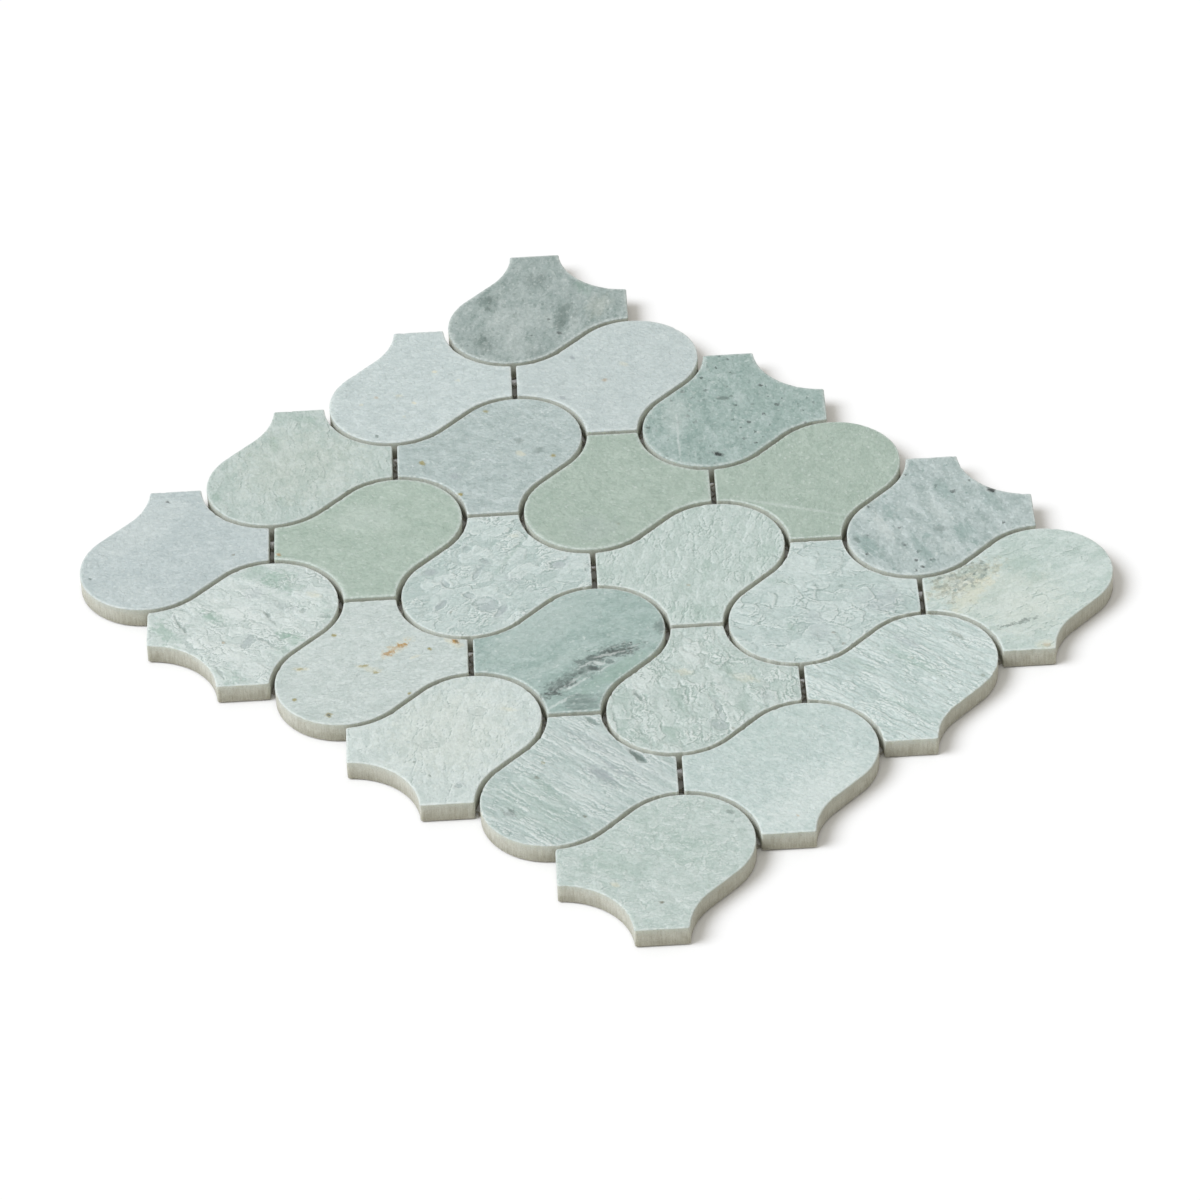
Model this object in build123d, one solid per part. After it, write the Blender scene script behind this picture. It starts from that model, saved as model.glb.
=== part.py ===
from build123d import *
import math
import os

# Marble mosaic sheet, in millimetres. Like stones stand head to tail in rows, bonded to a net of
# crossed threads. The sheet lies on the XY plane, net down, with its origin under its middle.

# Driving dimensions of one stone
lobe_radius = 25.4          # round end, so the stone's body is two inches wide
side_length = 15.0          # straight run between the lobe and the flared shoulders
stone_thickness = 8.0
joint_width = 2.0           # open joint between neighbours
corner_flat = 0.45          # setback of the small flat that blunts each corner of the shoulders

# Driving dimensions of the sheet
column_count = 6
row_count = 4

# Driving dimensions of the net
thread_width = 1.0
thread_thickness = 0.25
thread_pitch = 4.7
thread_tail = 0.6           # cut end of a thread past the last crossing
net_margin = 0.5            # least distance of the net from the hollows in the sheet's edge

# Sizes that follow: a stone's hollows are the lobes of its neighbours, grown by the joint
column_pitch = 2 * lobe_radius + joint_width
row_pitch = column_pitch + side_length
hollow_radius = lobe_radius + joint_width
flat_trim = math.degrees(math.asin(joint_width / 2 / hollow_radius))
hollow_sweep = 45 - flat_trim
stone_bottom = 2 * thread_thickness

# Sizes that follow: the net has as many meshes as fit in the lobes' reach at 45 degrees
net_reach = lobe_radius / math.sqrt(2) - net_margin - thread_tail - thread_width / 2
meshes_along_x = int(((column_count - 1) * column_pitch + 2 * net_reach) // thread_pitch)
meshes_along_y = int(((row_count - 1) * row_pitch + side_length + 2 * net_reach) // thread_pitch)


def stone_outline():
    """Plan of one stone: lobe towards -Y, hollow between two square shoulders towards +Y."""
    lobe_centre = (0, -side_length / 2)
    beside_centre = (column_pitch, side_length / 2)
    above_centre = (0, row_pitch - side_length / 2)
    with BuildSketch() as plan:
        with BuildLine():
            CenterArc(lobe_centre, lobe_radius, 180, 180)
            notch = CenterArc(above_centre, hollow_radius, 270 - hollow_sweep, 2 * hollow_sweep)
            with BuildLine(mode=Mode.PRIVATE) as right_side:
                Line((lobe_radius, -side_length / 2), (lobe_radius, side_length / 2))
                flare = CenterArc(beside_centre, hollow_radius, 180, -hollow_sweep)
                Line(flare @ 1, notch @ 1)
            add(right_side.line)
            mirror(right_side.line, about=Plane.YZ)
        make_face()
        shoulder_corners = plan.vertices().group_by(Axis.Y)[-2:]
        chamfer(shoulder_corners[0] + shoulder_corners[1], corner_flat)
    return plan.sketch


def stone():
    """One stone, lobe towards -Y, standing on the net."""
    return Pos(0, 0, stone_bottom) * extrude(stone_outline(), stone_thickness)


def thread_set(meshes_along, meshes_across, level):
    """Threads along X over the meshes along it, one at each edge of the meshes across it."""
    length = meshes_along * thread_pitch + thread_width + 2 * thread_tail
    thread = Box(length, thread_width, thread_thickness, align=(Align.CENTER, Align.CENTER, Align.MIN))
    first_y = -meshes_across * thread_pitch / 2
    places = [Pos(0, first_y + index * thread_pitch, level) for index in range(meshes_across + 1)]
    return Compound(children=[place * thread for place in places])


def write(node, shape):
    """One STEP file, named for its node."""
    export_step(shape, f"parts/{node}.step")


os.makedirs("parts", exist_ok=True)

# Stones: every second column is turned half round, so lobes and hollows lock together
pattern_stone = stone()
for row in range(row_count):
    for column in range(column_count):
        centre_x = (column - (column_count - 1) / 2) * column_pitch
        centre_y = ((row_count - 1) / 2 - row) * row_pitch
        turn = 180 * (column % 2)
        placed = Pos(centre_x, centre_y) * Rot(0, 0, turn) * pattern_stone
        write(f"marble_piece_{chr(ord('a') + row)}{column + 1}", placed)

# Net: the lengthwise threads lie below and the crosswise threads on top of them
lengthwise_threads = thread_set(meshes_along_x, meshes_along_y, 0)
crosswise_threads = Rot(0, 0, 90) * thread_set(meshes_along_y, meshes_along_x, thread_thickness)
write("net_lengthwise_threads", lengthwise_threads)
write("net_crosswise_threads", crosswise_threads)
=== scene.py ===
import logging
import math
from dataclasses import dataclass
from enum import Enum
from typing import Union

import bpy
import numpy as np
from mathutils import Matrix, Vector
from mathutils.geometry import delaunay_2d_cdt


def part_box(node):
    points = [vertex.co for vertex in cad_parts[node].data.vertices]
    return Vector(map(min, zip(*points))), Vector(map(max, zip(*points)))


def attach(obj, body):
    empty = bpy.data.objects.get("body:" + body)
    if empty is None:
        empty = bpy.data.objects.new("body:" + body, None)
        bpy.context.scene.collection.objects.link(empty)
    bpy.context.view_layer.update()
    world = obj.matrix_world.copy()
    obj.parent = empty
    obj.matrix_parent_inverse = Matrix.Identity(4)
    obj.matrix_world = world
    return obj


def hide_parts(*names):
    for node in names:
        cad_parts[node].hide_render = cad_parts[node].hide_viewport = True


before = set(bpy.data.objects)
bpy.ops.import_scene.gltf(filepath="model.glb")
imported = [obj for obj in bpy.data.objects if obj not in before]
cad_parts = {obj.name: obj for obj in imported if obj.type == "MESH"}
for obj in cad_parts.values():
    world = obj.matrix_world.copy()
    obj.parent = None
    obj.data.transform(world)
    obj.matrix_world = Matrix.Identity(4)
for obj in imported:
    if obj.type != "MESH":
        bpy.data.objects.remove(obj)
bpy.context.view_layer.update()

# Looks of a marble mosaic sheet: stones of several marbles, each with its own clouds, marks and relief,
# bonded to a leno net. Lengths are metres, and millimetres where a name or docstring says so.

BODY = "root"
MM = 0.001
SMOOTH_FACE_STEP = 1.1 * MM

Colour = tuple[float, float, float, float]
Socket = bpy.types.NodeSocket
Outputs = bpy.types.NodeOutputs
Feed = Union[Socket, float, tuple]
Run = tuple[np.ndarray, float, float]
Pair = tuple[np.ndarray, np.ndarray]

log = logging.getLogger("marble_mosaic_sheet")


def swatch(red: int, green: int, blue: int) -> Colour:
    """Linear colour of a swatch written in display values from 0 to 255.

    Args:
        red: its red.
        green: its green.
        blue: its blue.

    Returns:
        The colour, opaque.
    """
    parts = [value / 255 for value in (red, green, blue)]
    linear = [part / 12.92 if part <= 0.04045 else ((part + 0.055) / 1.055) ** 2.4 for part in parts]
    return (*linear, 1.0)


def ease(values: np.ndarray, start: float, end: float) -> np.ndarray:
    """Smooth step from 0 at start to 1 at end, either of which may be the greater."""
    share = np.clip((values - start) / (end - start), 0.0, 1.0)
    return share * share * (3 - 2 * share)


@dataclass(frozen=True)
class Shades:
    """Three shades of one marble: its ground, the paler clouds and the darker smears."""

    ground: Colour
    light: Colour
    dark: Colour


class Tone(Enum):
    """The marbles that the stones are cut from."""

    ICE_WHITE = Shades(swatch(197, 209, 208), swatch(213, 223, 222), swatch(183, 196, 195))
    SNOW_WHITE = Shades(swatch(203, 214, 211), swatch(220, 229, 226), swatch(184, 198, 193))
    PALE_GREEN = Shades(swatch(194, 208, 203), swatch(212, 223, 219), swatch(171, 190, 182))
    FROST_GREEN = Shades(swatch(195, 209, 206), swatch(213, 224, 221), swatch(171, 190, 185))
    SAGE = Shades(swatch(173, 190, 178), swatch(190, 205, 194), swatch(156, 176, 163))
    TEAL_GREY = Shades(swatch(165, 186, 180), swatch(189, 205, 202), swatch(139, 163, 157))
    SMOKY_GREEN = Shades(swatch(163, 177, 174), swatch(185, 196, 193), swatch(130, 148, 143))
    MIST_GREY = Shades(swatch(181, 195, 193), swatch(202, 214, 213), swatch(158, 175, 172))
    LILAC_GREY = Shades(swatch(192, 204, 204), swatch(209, 219, 219), swatch(174, 188, 189))


class Tint(Enum):
    """Colours of the marks in the stones."""

    INK = swatch(48, 55, 53)
    GRAPHITE = swatch(94, 105, 102)
    # SMOKE is a mark colour, and also goes into the crevices' painted shade.
    SMOKE = swatch(108, 124, 119)
    MOSS = swatch(150, 178, 164)
    TEAL = swatch(130, 158, 152)
    SLATE = swatch(162, 172, 175)
    LILAC = swatch(206, 213, 214)
    CREAM = swatch(221, 219, 196)
    RUST = swatch(178, 134, 62)
    OCHRE = swatch(156, 144, 78)
    OLIVE = swatch(116, 114, 94)
    # CHALK is a mark colour, and also the colour of the painted highlights on lips, rim and glints.
    CHALK = swatch(226, 233, 230)


class Relief(Enum):
    """How a stone's face broke or wore."""

    HONED = "honed"
    SUGARY = "sugary"
    RIPPLED = "rippled"
    CLEFT = "cleft"
    CRAGGY = "craggy"
    WEBBED = "webbed"
    STREAKED = "streaked"


@dataclass(frozen=True)
class FaceLook:
    """How strongly a face's crystals and plates show, with the painted highlights on lips and glints and
    the painted shade in crevices.

    Size is the crystals' size and relief_mm how far they stand out, both in millimetres.
    """

    size: float
    contrast: float
    relief_mm: float
    lines: float = 0.0
    plate: float = 0.0
    lip: float = 0.0
    crevice_shade: float = 0.0
    glint: float = 0.16


FACE_LOOKS: dict[Relief, FaceLook] = {
    Relief.HONED: FaceLook(2.2, 0.25, 0.10, lines=0.1, glint=0.22),
    Relief.SUGARY: FaceLook(1.8, 0.26, 0.07, lines=0.04, plate=0.25, lip=0.35, crevice_shade=0.5, glint=0.25),
    Relief.RIPPLED: FaceLook(1.7, 0.22, 0.05, plate=0.35, lip=0.5, crevice_shade=1.0),
    Relief.CLEFT: FaceLook(1.7, 0.24, 0.05, plate=0.45, lip=0.6, crevice_shade=1.0),
    Relief.CRAGGY: FaceLook(1.7, 0.3, 0.05, plate=0.5, lip=0.7, crevice_shade=0.9),
    Relief.WEBBED: FaceLook(1.7, 0.26, 0.05, plate=0.35, lip=0.6, crevice_shade=0.4),
    Relief.STREAKED: FaceLook(1.6, 0.24, 0.05, plate=0.45, lip=0.7, crevice_shade=0.6),
}


@dataclass(frozen=True)
class Mark:
    """One mark in a stone's face, in millimetres in the stone's plan with its lobe towards -Y.

    A mark that is sunk is a scoop in the face, as deep as sunk says. A wispy one is smoke, drawn out
    along its length.
    """

    tint: Tint
    x: float
    y: float
    half_length: float
    half_width: float
    turn: float = 0.0
    strength: float = 0.7
    ragged: float = 0.6
    sunk: float = 0.0
    wispy: bool = False


@dataclass(frozen=True)
class Flecks:
    """Small flecks scattered through a stone, spaced in millimetres; share is how many are there."""

    tint: Tint
    spacing: float
    share: float
    strength: float = 0.6


@dataclass(frozen=True)
class StoneFinish:
    """Looks of one stone's face: marble, relief, grain and marks. Sizes are millimetres.

    Lift is how much paler or darker the stone is than others of its marble.
    """

    tone: Tone
    relief: Relief
    depth: float
    grain_turn: float = 0.0
    stretch: float = 1.5
    cloud: float = 7.0
    contrast: float = 0.8
    flecks: tuple[Flecks, ...] = ()
    marks: tuple[Mark, ...] = ()
    lift: float = 1.0


def dabs(tint: Tint, *places: tuple[float, ...], wispy: bool = False) -> tuple[Mark, ...]:
    """Marks of one colour, each given by a mark's numbers from x to sunk."""
    return tuple(Mark(tint, *place, wispy=wispy) for place in places)


STONES: dict[str, StoneFinish] = {
    "a1": StoneFinish(Tone.SMOKY_GREEN, Relief.HONED, 0.03, -50, 2.2, 6, 0.9, flecks=(
        Flecks(Tint.SMOKE, 4.5, 0.3, 0.5),), marks=(
        *dabs(Tint.CHALK, (12, -16, 8, 8, 0, 0.18, 0.9), (-2, -5, 11, 13, 0, 0.16, 0.9)),
        *dabs(Tint.CREAM, (18, 25, 12, 7, -60, 0.12, 0.7), wispy=True),
        *dabs(Tint.SMOKE, (-17, -3, 8, 5, -50, 0.4, 1.3), (12, 11, 13, 6, -55, 0.5, 1.3),
            (-12, 21, 9, 7, -50, 0.4, 1.0), (0, -24, 10, 6, -45, 0.5, 1.0),
            (21, -15, 6, 4, -40, 0.3, 1.0), wispy=True),
        *dabs(Tint.SMOKE, (-18.5, -1, 2, 1, -40, 0.6, 1.2), (-15, -6, 1.6, 0.9, -40, 0.6, 1.2),
            (15, 6.5, 2.4, 1.2, -60, 0.6, 1.2)),
        *dabs(Tint.INK, (18.5, 1, 1.3, 1, 0, 0.65), (9, 5, 0.7, 0.6, 0, 0.55),
            (11, -7.5, 0.7, 0.6, 0, 0.5)),
        Mark(Tint.SMOKE, -1, -21.5, 1.8, 0.9, -60, 0.6, 1.2), Mark(Tint.MOSS, 4, 30, 6, 3, -30, 0.3, 1.2))),
    "a2": StoneFinish(Tone.ICE_WHITE, Relief.HONED, 0.03, 20, 1.3, 6, 0.5, marks=(
        Mark(Tint.RUST, -1, 10.5, 1.2, 1, 0, 0.4), Mark(Tint.CREAM, 0.5, -2, 2, 1.2, 0, 0.4),
        *dabs(Tint.SLATE, (4, 30, 1.6, 1), (19, 8, 1.5, 1)))),
    "a3": StoneFinish(Tone.TEAL_GREY, Relief.HONED, 0.04, -40, 1.6, 5, 0.9, lift=0.96, flecks=(
        Flecks(Tint.INK, 5.5, 0.4, 0.65), Flecks(Tint.SMOKE, 3.4, 0.25, 0.5),
        Flecks(Tint.CHALK, 4.5, 0.25, 0.4)), marks=(
        *dabs(Tint.CHALK, (-15, -10, 13, 5, -50, 0.26, 0.8), (-4, -20, 14, 0.5, -45, 0.4, 0.9)),
        Mark(Tint.INK, 15, -18, 2.3, 1.2, 10, 0.95), Mark(Tint.SMOKE, -8, 10, 2.4, 1.4, 40),
        *dabs(Tint.INK, (-2, 26, 1.1, 0.9), (10.5, 5, 1.1, 0.9)))),
    "a4": StoneFinish(Tone.SAGE, Relief.SUGARY, 0.07, -50, 1.6, 9, 0.45, marks=(
        Mark(Tint.CHALK, -6, 25, 21, 0.9, 26, 0.3, 0.5),)),
    "a5": StoneFinish(Tone.MIST_GREY, Relief.HONED, 0.05, -25, 2.6, 4, 1.2, flecks=(
        Flecks(Tint.TEAL, 4.5, 0.4, 0.6), Flecks(Tint.CHALK, 5.0, 0.35, 0.5),
        Flecks(Tint.INK, 7.0, 0.2, 0.7)), marks=(
        *dabs(Tint.TEAL, (-8, 20, 11, 4, -22, 0.45, 1.1), (15, 6, 10, 5, -28, 0.55, 1.1),
            (-16, -3, 9, 4, -20, 0.45, 1.1), (8, -13, 12, 4, -25, 0.45, 1.1),
            (-8, -24, 12, 5, -12, 0.55, 1.1), (10, 27, 10, 4, -25, 0.35, 1.1), wispy=True),
        *dabs(Tint.CHALK, (-2, 9, 14, 5, -20, 0.2, 1.0), (-12, -12, 12, 5, -22, 0.35, 1.0),
            (17, -5, 8, 4, -25, 0.3, 1.0), wispy=True),
        Mark(Tint.INK, 5, 32.4, 2.4, 1.6, -30, 0.95), Mark(Tint.TEAL, 5, -5, 2, 1.3, 0, 0.5),
        Mark(Tint.SMOKE, 6, 1.5, 2.6, 1.8, 30, 0.4),
        *dabs(Tint.INK, (16, -21, 0.9, 0.8), (11.5, -19.5, 0.8, 0.7)),
        Mark(Tint.SMOKE, -14, -24.5, 2.2, 1, -20, 0.6), Mark(Tint.INK, -24, -6, 1.2, 0.7, -20, 0.6))),
    "a6": StoneFinish(Tone.PALE_GREEN, Relief.RIPPLED, 0.12, 75, 2.0, 9, 0.5, lift=1.06, marks=(
        Mark(Tint.CHALK, -12, 14, 12, 20, -15, 0.25, 0.8),
        *dabs(Tint.CREAM, (-2, 14, 24, 20, 0, 0.16, 0.8), (12, 22, 4, 18, 8, 0.45, 1.0)),
        Mark(Tint.CHALK, -12, -17, 10, 9, 0, 0.22, 0.9), Mark(Tint.CREAM, 20, 19, 7, 15, -10, 0.55, 1.1),
        Mark(Tint.OLIVE, 21, 22, 6, 8, 0, 0.3, 2.6),
        *dabs(Tint.SMOKE, (20, 11, 5, 8, -10, 0.36, 2.6), (22, 17, 5, 10, 10, 0.28, 3.0)),
        *(Mark(Tint.GRAPHITE, x, y, 0.6, 1.4, -15, 0.6, 1.3, 0.2) for x, y in ((17.5, 6.7), (15.9, 10),
            (19.2, 11.7), (21.4, 4.6), (22.5, 13.3), (19.2, 16.1), (24.6, 17.8), (20.3, 21.7), (27.3, 22),
            (23.7, 25.5), (18.1, 23.6), (24.4, 8.4), (28.4, 26.5))),
        Mark(Tint.MOSS, 9, -5, 9, 6, 0, 0.3), Mark(Tint.CREAM, -29, 27, 4, 3, 45, 0.5),
        Mark(Tint.RUST, -29, 27, 1.6, 1.2, 45, 0.35),
        Mark(Tint.GRAPHITE, -11, 26, 7.5, 0.9, 62, 0.65, 2.4))),
    "b1": StoneFinish(Tone.ICE_WHITE, Relief.HONED, 0.03, 30, 1.3, 6, 0.5, lift=1.045, flecks=(
        Flecks(Tint.CREAM, 9.0, 0.25, 0.5),), marks=(
        Mark(Tint.RUST, -8, -9, 1.1, 0.8, 0, 0.3), Mark(Tint.SMOKE, 10, -27, 1.1, 0.7, -30),
        *dabs(Tint.CREAM, (-2, 18, 1.3, 1), (6, -2, 1.2, 0.8)))),
    "b2": StoneFinish(Tone.MIST_GREY, Relief.SUGARY, 0.09, 20, 1.3, 4.5, 0.8, lift=1.02, flecks=(
        Flecks(Tint.SLATE, 4.0, 0.4, 0.5),), marks=(
        *dabs(Tint.OCHRE, (-8, 33, 1.2, 1, 0, 0.95), (17, 28, 1.4, 1.2, 0, 0.9),
            (-19, -8, 1.3, 1.1, 0, 0.85), (21, -12, 1.1, 0.9, 0, 0.7)),
        Mark(Tint.CREAM, -8, -1, 2.2, 1.4, 0, 0.6),
        *dabs(Tint.SMOKE, (-12, -7, 3, 2, 80, 0.45), (-2, -6.5, 2, 1.7, 0, 0.45)),
        Mark(Tint.SLATE, 1, 26, 2.5, 2, 0, 0.5))),
    "b3": StoneFinish(Tone.SAGE, Relief.HONED, 0.02, 0, 1.2, 8, 0.5, marks=(
        Mark(Tint.SLATE, 10, -15, 10, 8, 30, 0.18, 0.9), Mark(Tint.OLIVE, 15, -7.5, 0.8, 0.6, 0, 0.4),
        Mark(Tint.CHALK, 4, 13.5, 1.2, 0.5, 0, 0.5))),
    "b4": StoneFinish(Tone.PALE_GREEN, Relief.RIPPLED, 0.29, -55, 3.0, 6, 0.45, lift=1.03, marks=(
        *dabs(Tint.MOSS, (-21, 28, 9, 5, 40, 0.35, 0.8), (-18, -15, 8, 4, -60, 0.3, 0.8)),
        Mark(Tint.RUST, -8, 18, 0.9, 0.6, 0, 0.4), Mark(Tint.MOSS, -6, 6, 9, 1.2, -55, 0.35, 0.9))),
    "b5": StoneFinish(Tone.FROST_GREEN, Relief.CLEFT, 0.34, 30, 1.4, 6, 0.5, lift=1.03, marks=(
        Mark(Tint.SLATE, 18, 22, 8, 7, 0, 0.45, 0.8), Mark(Tint.SMOKE, -0.5, 18.5, 1.1, 1),
        *dabs(Tint.OLIVE, (16, -4.5, 0.8, 0.7), (23, -7, 0.8, 0.7)),
        *dabs(Tint.MOSS, (-19, 6, 5, 2.5, 30, 0.4, 0.8), (2, -12, 3, 2, 0, 0.4, 0.9)),
        Mark(Tint.SLATE, 8, -5, 10, 5, -30, 0.3, 0.8))),
    "b6": StoneFinish(Tone.FROST_GREEN, Relief.STREAKED, 0.37, 4, 4.0, 5, 0.7, lift=1.055, marks=(
        Mark(Tint.MOSS, 2, -2, 13, 2.6, 0, 0.5, 0.9),
        *dabs(Tint.OLIVE, (5, -3, 0.9, 0.7, 0, 0.8), (0, -24, 5, 1.1, 0, 0.35, 1.1),
            (-22, -12, 1.1, 0.9)),
        Mark(Tint.SMOKE, -18, 2.5, 1.5, 0.6, 0, 0.4), Mark(Tint.SLATE, 12, -9, 10, 2, 0, 0.4, 0.9),
        *dabs(Tint.MOSS, (16, 12, 7, 1.6, 0, 0.35, 0.9), (-12, 20, 9, 1.6, 0, 0.35, 0.9)))),
    "c1": StoneFinish(Tone.PALE_GREEN, Relief.RIPPLED, 0.12, -40, 2.0, 5, 0.6, lift=0.98, flecks=(
        Flecks(Tint.MOSS, 6.0, 0.45, 0.4),), marks=(
        *dabs(Tint.MOSS, (-19, 31, 4, 2.5, 20, 0.5), (-17, 11, 5, 1.8, -40, 0.5),
            (-11, -27, 3.5, 1.8, -40, 0.5)),
        Mark(Tint.CREAM, 0, 8, 24, 26, 0, 0.14, 0.9))),
    "c2": StoneFinish(Tone.SAGE, Relief.HONED, 0.02, 20, 1.2, 7, 0.5, lift=1.04, marks=(
        Mark(Tint.CHALK, 10, 0, 12, 9, 40, 0.16, 0.9), Mark(Tint.RUST, 19.5, 37, 1, 0.7, 0, 0.7))),
    "c3": StoneFinish(Tone.FROST_GREEN, Relief.CRAGGY, 0.34, 75, 1.8, 6, 0.4, lift=1.02, marks=(
        *dabs(Tint.SLATE, (14, 28, 3.6, 2.8, 70, 0.8, 0.3, 0.2), (10, -7.5, 6, 4.6, -10, 0.45, 0.3, 0.12),
            (16.5, -7, 4, 1.6, 105, 0.7, 0.3, 0.15), (-20, -7, 3, 2.4, 60, 0.6, 0.4, 0.1),
            (-11, -9, 3.4, 1.6, -30, 0.6, 0.4, 0.1), (1, -8, 2.4, 2, 0, 0.5, 0.4, 0.08),
            (-3.5, -19, 4, 1.3, 95, 0.65, 0.3, 0.18), (7, 10, 4, 2, 0, 0.45),
            (-6, 4, 5, 1.2, -70, 0.5, 0.5, 0.1)),
        Mark(Tint.OLIVE, 2.5, -19.5, 1.2, 0.6, -60, 0.6),
        *dabs(Tint.SLATE, (-20, 12, 1.8, 1.4, 0, 0.5, 0.4, 0.1), (-9, 11, 2, 1.4, 0, 0.5, 0.5, 0.08),
            (20, 13, 1.2, 1, 0, 0.5)),
        Mark(Tint.CREAM, -11, 29, 2.5, 1.5, 30, 0.4), Mark(Tint.MOSS, -4, 20, 12, 0.9, -75, 0.5, 1.0))),
    "c4": StoneFinish(Tone.TEAL_GREY, Relief.SUGARY, 0.03, 60, 1.5, 7, 0.5, lift=1.02, marks=(
        Mark(Tint.MOSS, -22, 5, 17, 3.6, 85, 0.45, 0.9),
        *dabs(Tint.CHALK, (-2, 14, 17, 3, 75, 0.14, 0.9), (18, 2, 10, 30, 0, 0.16, 0.7)),
        *dabs(Tint.GRAPHITE, (-25, 27, 11, 7, 45, 0.5, 0.9), (-11.5, 25, 13, 5.5, 88, 0.5, 0.9),
            (-11.5, 9, 12, 6, 80, 0.5, 0.9), (-13.5, -3, 12, 5, 57, 0.55, 1.0),
            (-17, -25, 6, 4, -50, 0.5, 0.8), wispy=True),
        Mark(Tint.GRAPHITE, -11.5, 27, 9, 2.6, 86, 0.55, 2.6),
        Mark(Tint.INK, -12.4, 27, 7, 1.5, 86, 0.45, 2.6),
        Mark(Tint.GRAPHITE, -10, 6, 5.5, 2, 66, 0.7, 2.0),
        Mark(Tint.INK, -14.8, -4.5, 8, 2.8, 56, 0.6, 2.0, 0.12),
        Mark(Tint.SMOKE, -13, 13, 11, 3, 84, 0.45, 2.8),
        *dabs(Tint.INK, (-14.3, 9.7, 2.5, 1.5, 15, 0.75, 0.6, 0.22),
            (-12.2, 14.6, 0.9, 1.4, 0, 0.55, 0.7, 0.12), (-15.8, 3.4, 1.7, 1.2, 75, 0.55, 1.0, 0.15)),
        *dabs(Tint.CHALK, (-18, 33, 6, 0.8, 83, 0.5, 1.3), (-15.6, 21, 6, 0.6, 83, 0.5, 1.5),
            (-13.9, 6.4, 2.5, 1, 20, 0.6, 1.1), (-17.3, 7, 3.2, 0.5, 86, 0.5, 1.1),
            (-10.4, 11, 4, 0.6, 76, 0.45, 1.5), (-12.4, 1.2, 4, 0.6, 56, 0.5, 1.5),
            (-16.6, -9, 3, 0.5, 58, 0.45, 1.3), (-13.5, 20, 6, 0.5, 86, 0.45, 1.6),
            (-14.6, -3, 5, 0.5, 55, 0.45, 1.6), (1, -1, 1.5, 0.4, -40, 0.5)))),
    "c5": StoneFinish(Tone.PALE_GREEN, Relief.CRAGGY, 0.32, -30, 1.8, 5, 0.7, flecks=(
        Flecks(Tint.MOSS, 6.0, 0.35, 0.4),), marks=(
        *dabs(Tint.CHALK, (-16, 20, 9, 5, -30, 0.5, 1.0), (-20, -4, 9, 3.4, -60, 0.5, 1.0),
            (3, 12, 16, 2.6, -25, 0.4, 1.1)),
        *dabs(Tint.CREAM, (8, 22, 6, 2, 20, 0.45, 0.9), (-12, 10, 4, 1.8, 30, 0.45, 0.9)),
        Mark(Tint.SMOKE, -15, -11, 4.4, 1, -15, 0.65, 1.2, 0.12),
        Mark(Tint.OLIVE, 24, -2.5, 1, 0.7, 0, 0.8), Mark(Tint.SLATE, 14, 2, 7, 1.5, -30, 0.5, 0.9, 0.1),
        Mark(Tint.MOSS, 1, 24, 5, 4, 20, 0.45, 0.5, 0.06),
        *dabs(Tint.SLATE, (19, -4, 4, 3, 0, 0.4, 0.5, 0.06), (21, 20, 3, 2.4, 0, 0.4, 0.6)),
        *dabs(Tint.MOSS, (-2, -3, 9, 1.4, -30, 0.4, 0.9), (8, -18, 10, 3, -25, 0.35, 0.8)))),
    "c6": StoneFinish(Tone.FROST_GREEN, Relief.SUGARY, 0.1, 10, 1.2, 4, 0.5, lift=1.06, marks=(
        Mark(Tint.CHALK, -19, 12, 11, 26, 0, 0.4, 0.9), Mark(Tint.MOSS, 15, -8, 13, 24, 0, 0.09, 0.9),
        Mark(Tint.RUST, -22, 24, 0.9, 0.5, 0, 0.4), Mark(Tint.SMOKE, 4, -19, 1.2, 0.8, 30, 0.4))),
    "d1": StoneFinish(Tone.LILAC_GREY, Relief.SUGARY, 0.05, 40, 1.3, 9, 0.5, lift=1.025, marks=(
        Mark(Tint.INK, -23, 26.5, 1.3, 0.6, 10, 0.7), Mark(Tint.OLIVE, 20, 19.5, 0.7, 0.6),
        Mark(Tint.SMOKE, -11.5, -26, 0.8, 0.5),
        *dabs(Tint.CHALK, (10, -22, 14, 6, 20, 0.12, 0.8), (-19, 6, 9, 26, 0, 0.22, 0.8)))),
    "d2": StoneFinish(Tone.SNOW_WHITE, Relief.CRAGGY, 0.22, 10, 1.3, 4, 0.8, lift=1.05, marks=(
        *dabs(Tint.CHALK, (6, 4, 17, 4, 8, 0.6, 1.3), (-4, 24, 14, 4, 10, 0.5, 1.3)),
        *dabs(Tint.MOSS, (-19, 1.5, 5.4, 3.4, 0, 0.95, 1.2), (8, -19, 8, 4.6, 10, 0.8, 1.4),
            (7, -24.5, 3, 2, 0, 0.6, 0.8), (12, 12, 6, 2.6, 0, 0.75, 1.4)),
        *dabs(Tint.SMOKE, (-12, -13, 1.8, 1.3, 80, 0.75, 0.6, 0.2),
            (-4, -1.8, 4.4, 0.9, -15, 0.6, 1.1, 0.15)),
        Mark(Tint.SLATE, -9, 14, 2.2, 4, 20, 0.55, 0.6, 0.12),
        Mark(Tint.SMOKE, -21, -16, 2.8, 1.4, 30, 0.55, 1.0, 0.12),
        Mark(Tint.MOSS, -17, 33, 8, 3.4, 10, 0.55, 1.5),
        Mark(Tint.SMOKE, 18, 23, 7, 0.8, -20, 0.7, 1.2, 0.15),
        Mark(Tint.MOSS, 17, 31, 9, 3.6, -20, 0.65, 1.4),
        Mark(Tint.SMOKE, -14, 33.5, 4.5, 0.8, -10, 0.55, 1.2, 0.12),
        Mark(Tint.MOSS, -22, 9, 4, 3.4, 60, 0.55, 1.4),
        Mark(Tint.SMOKE, -13, 9.5, 5, 0.7, 10, 0.55, 1.2, 0.1),
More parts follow.
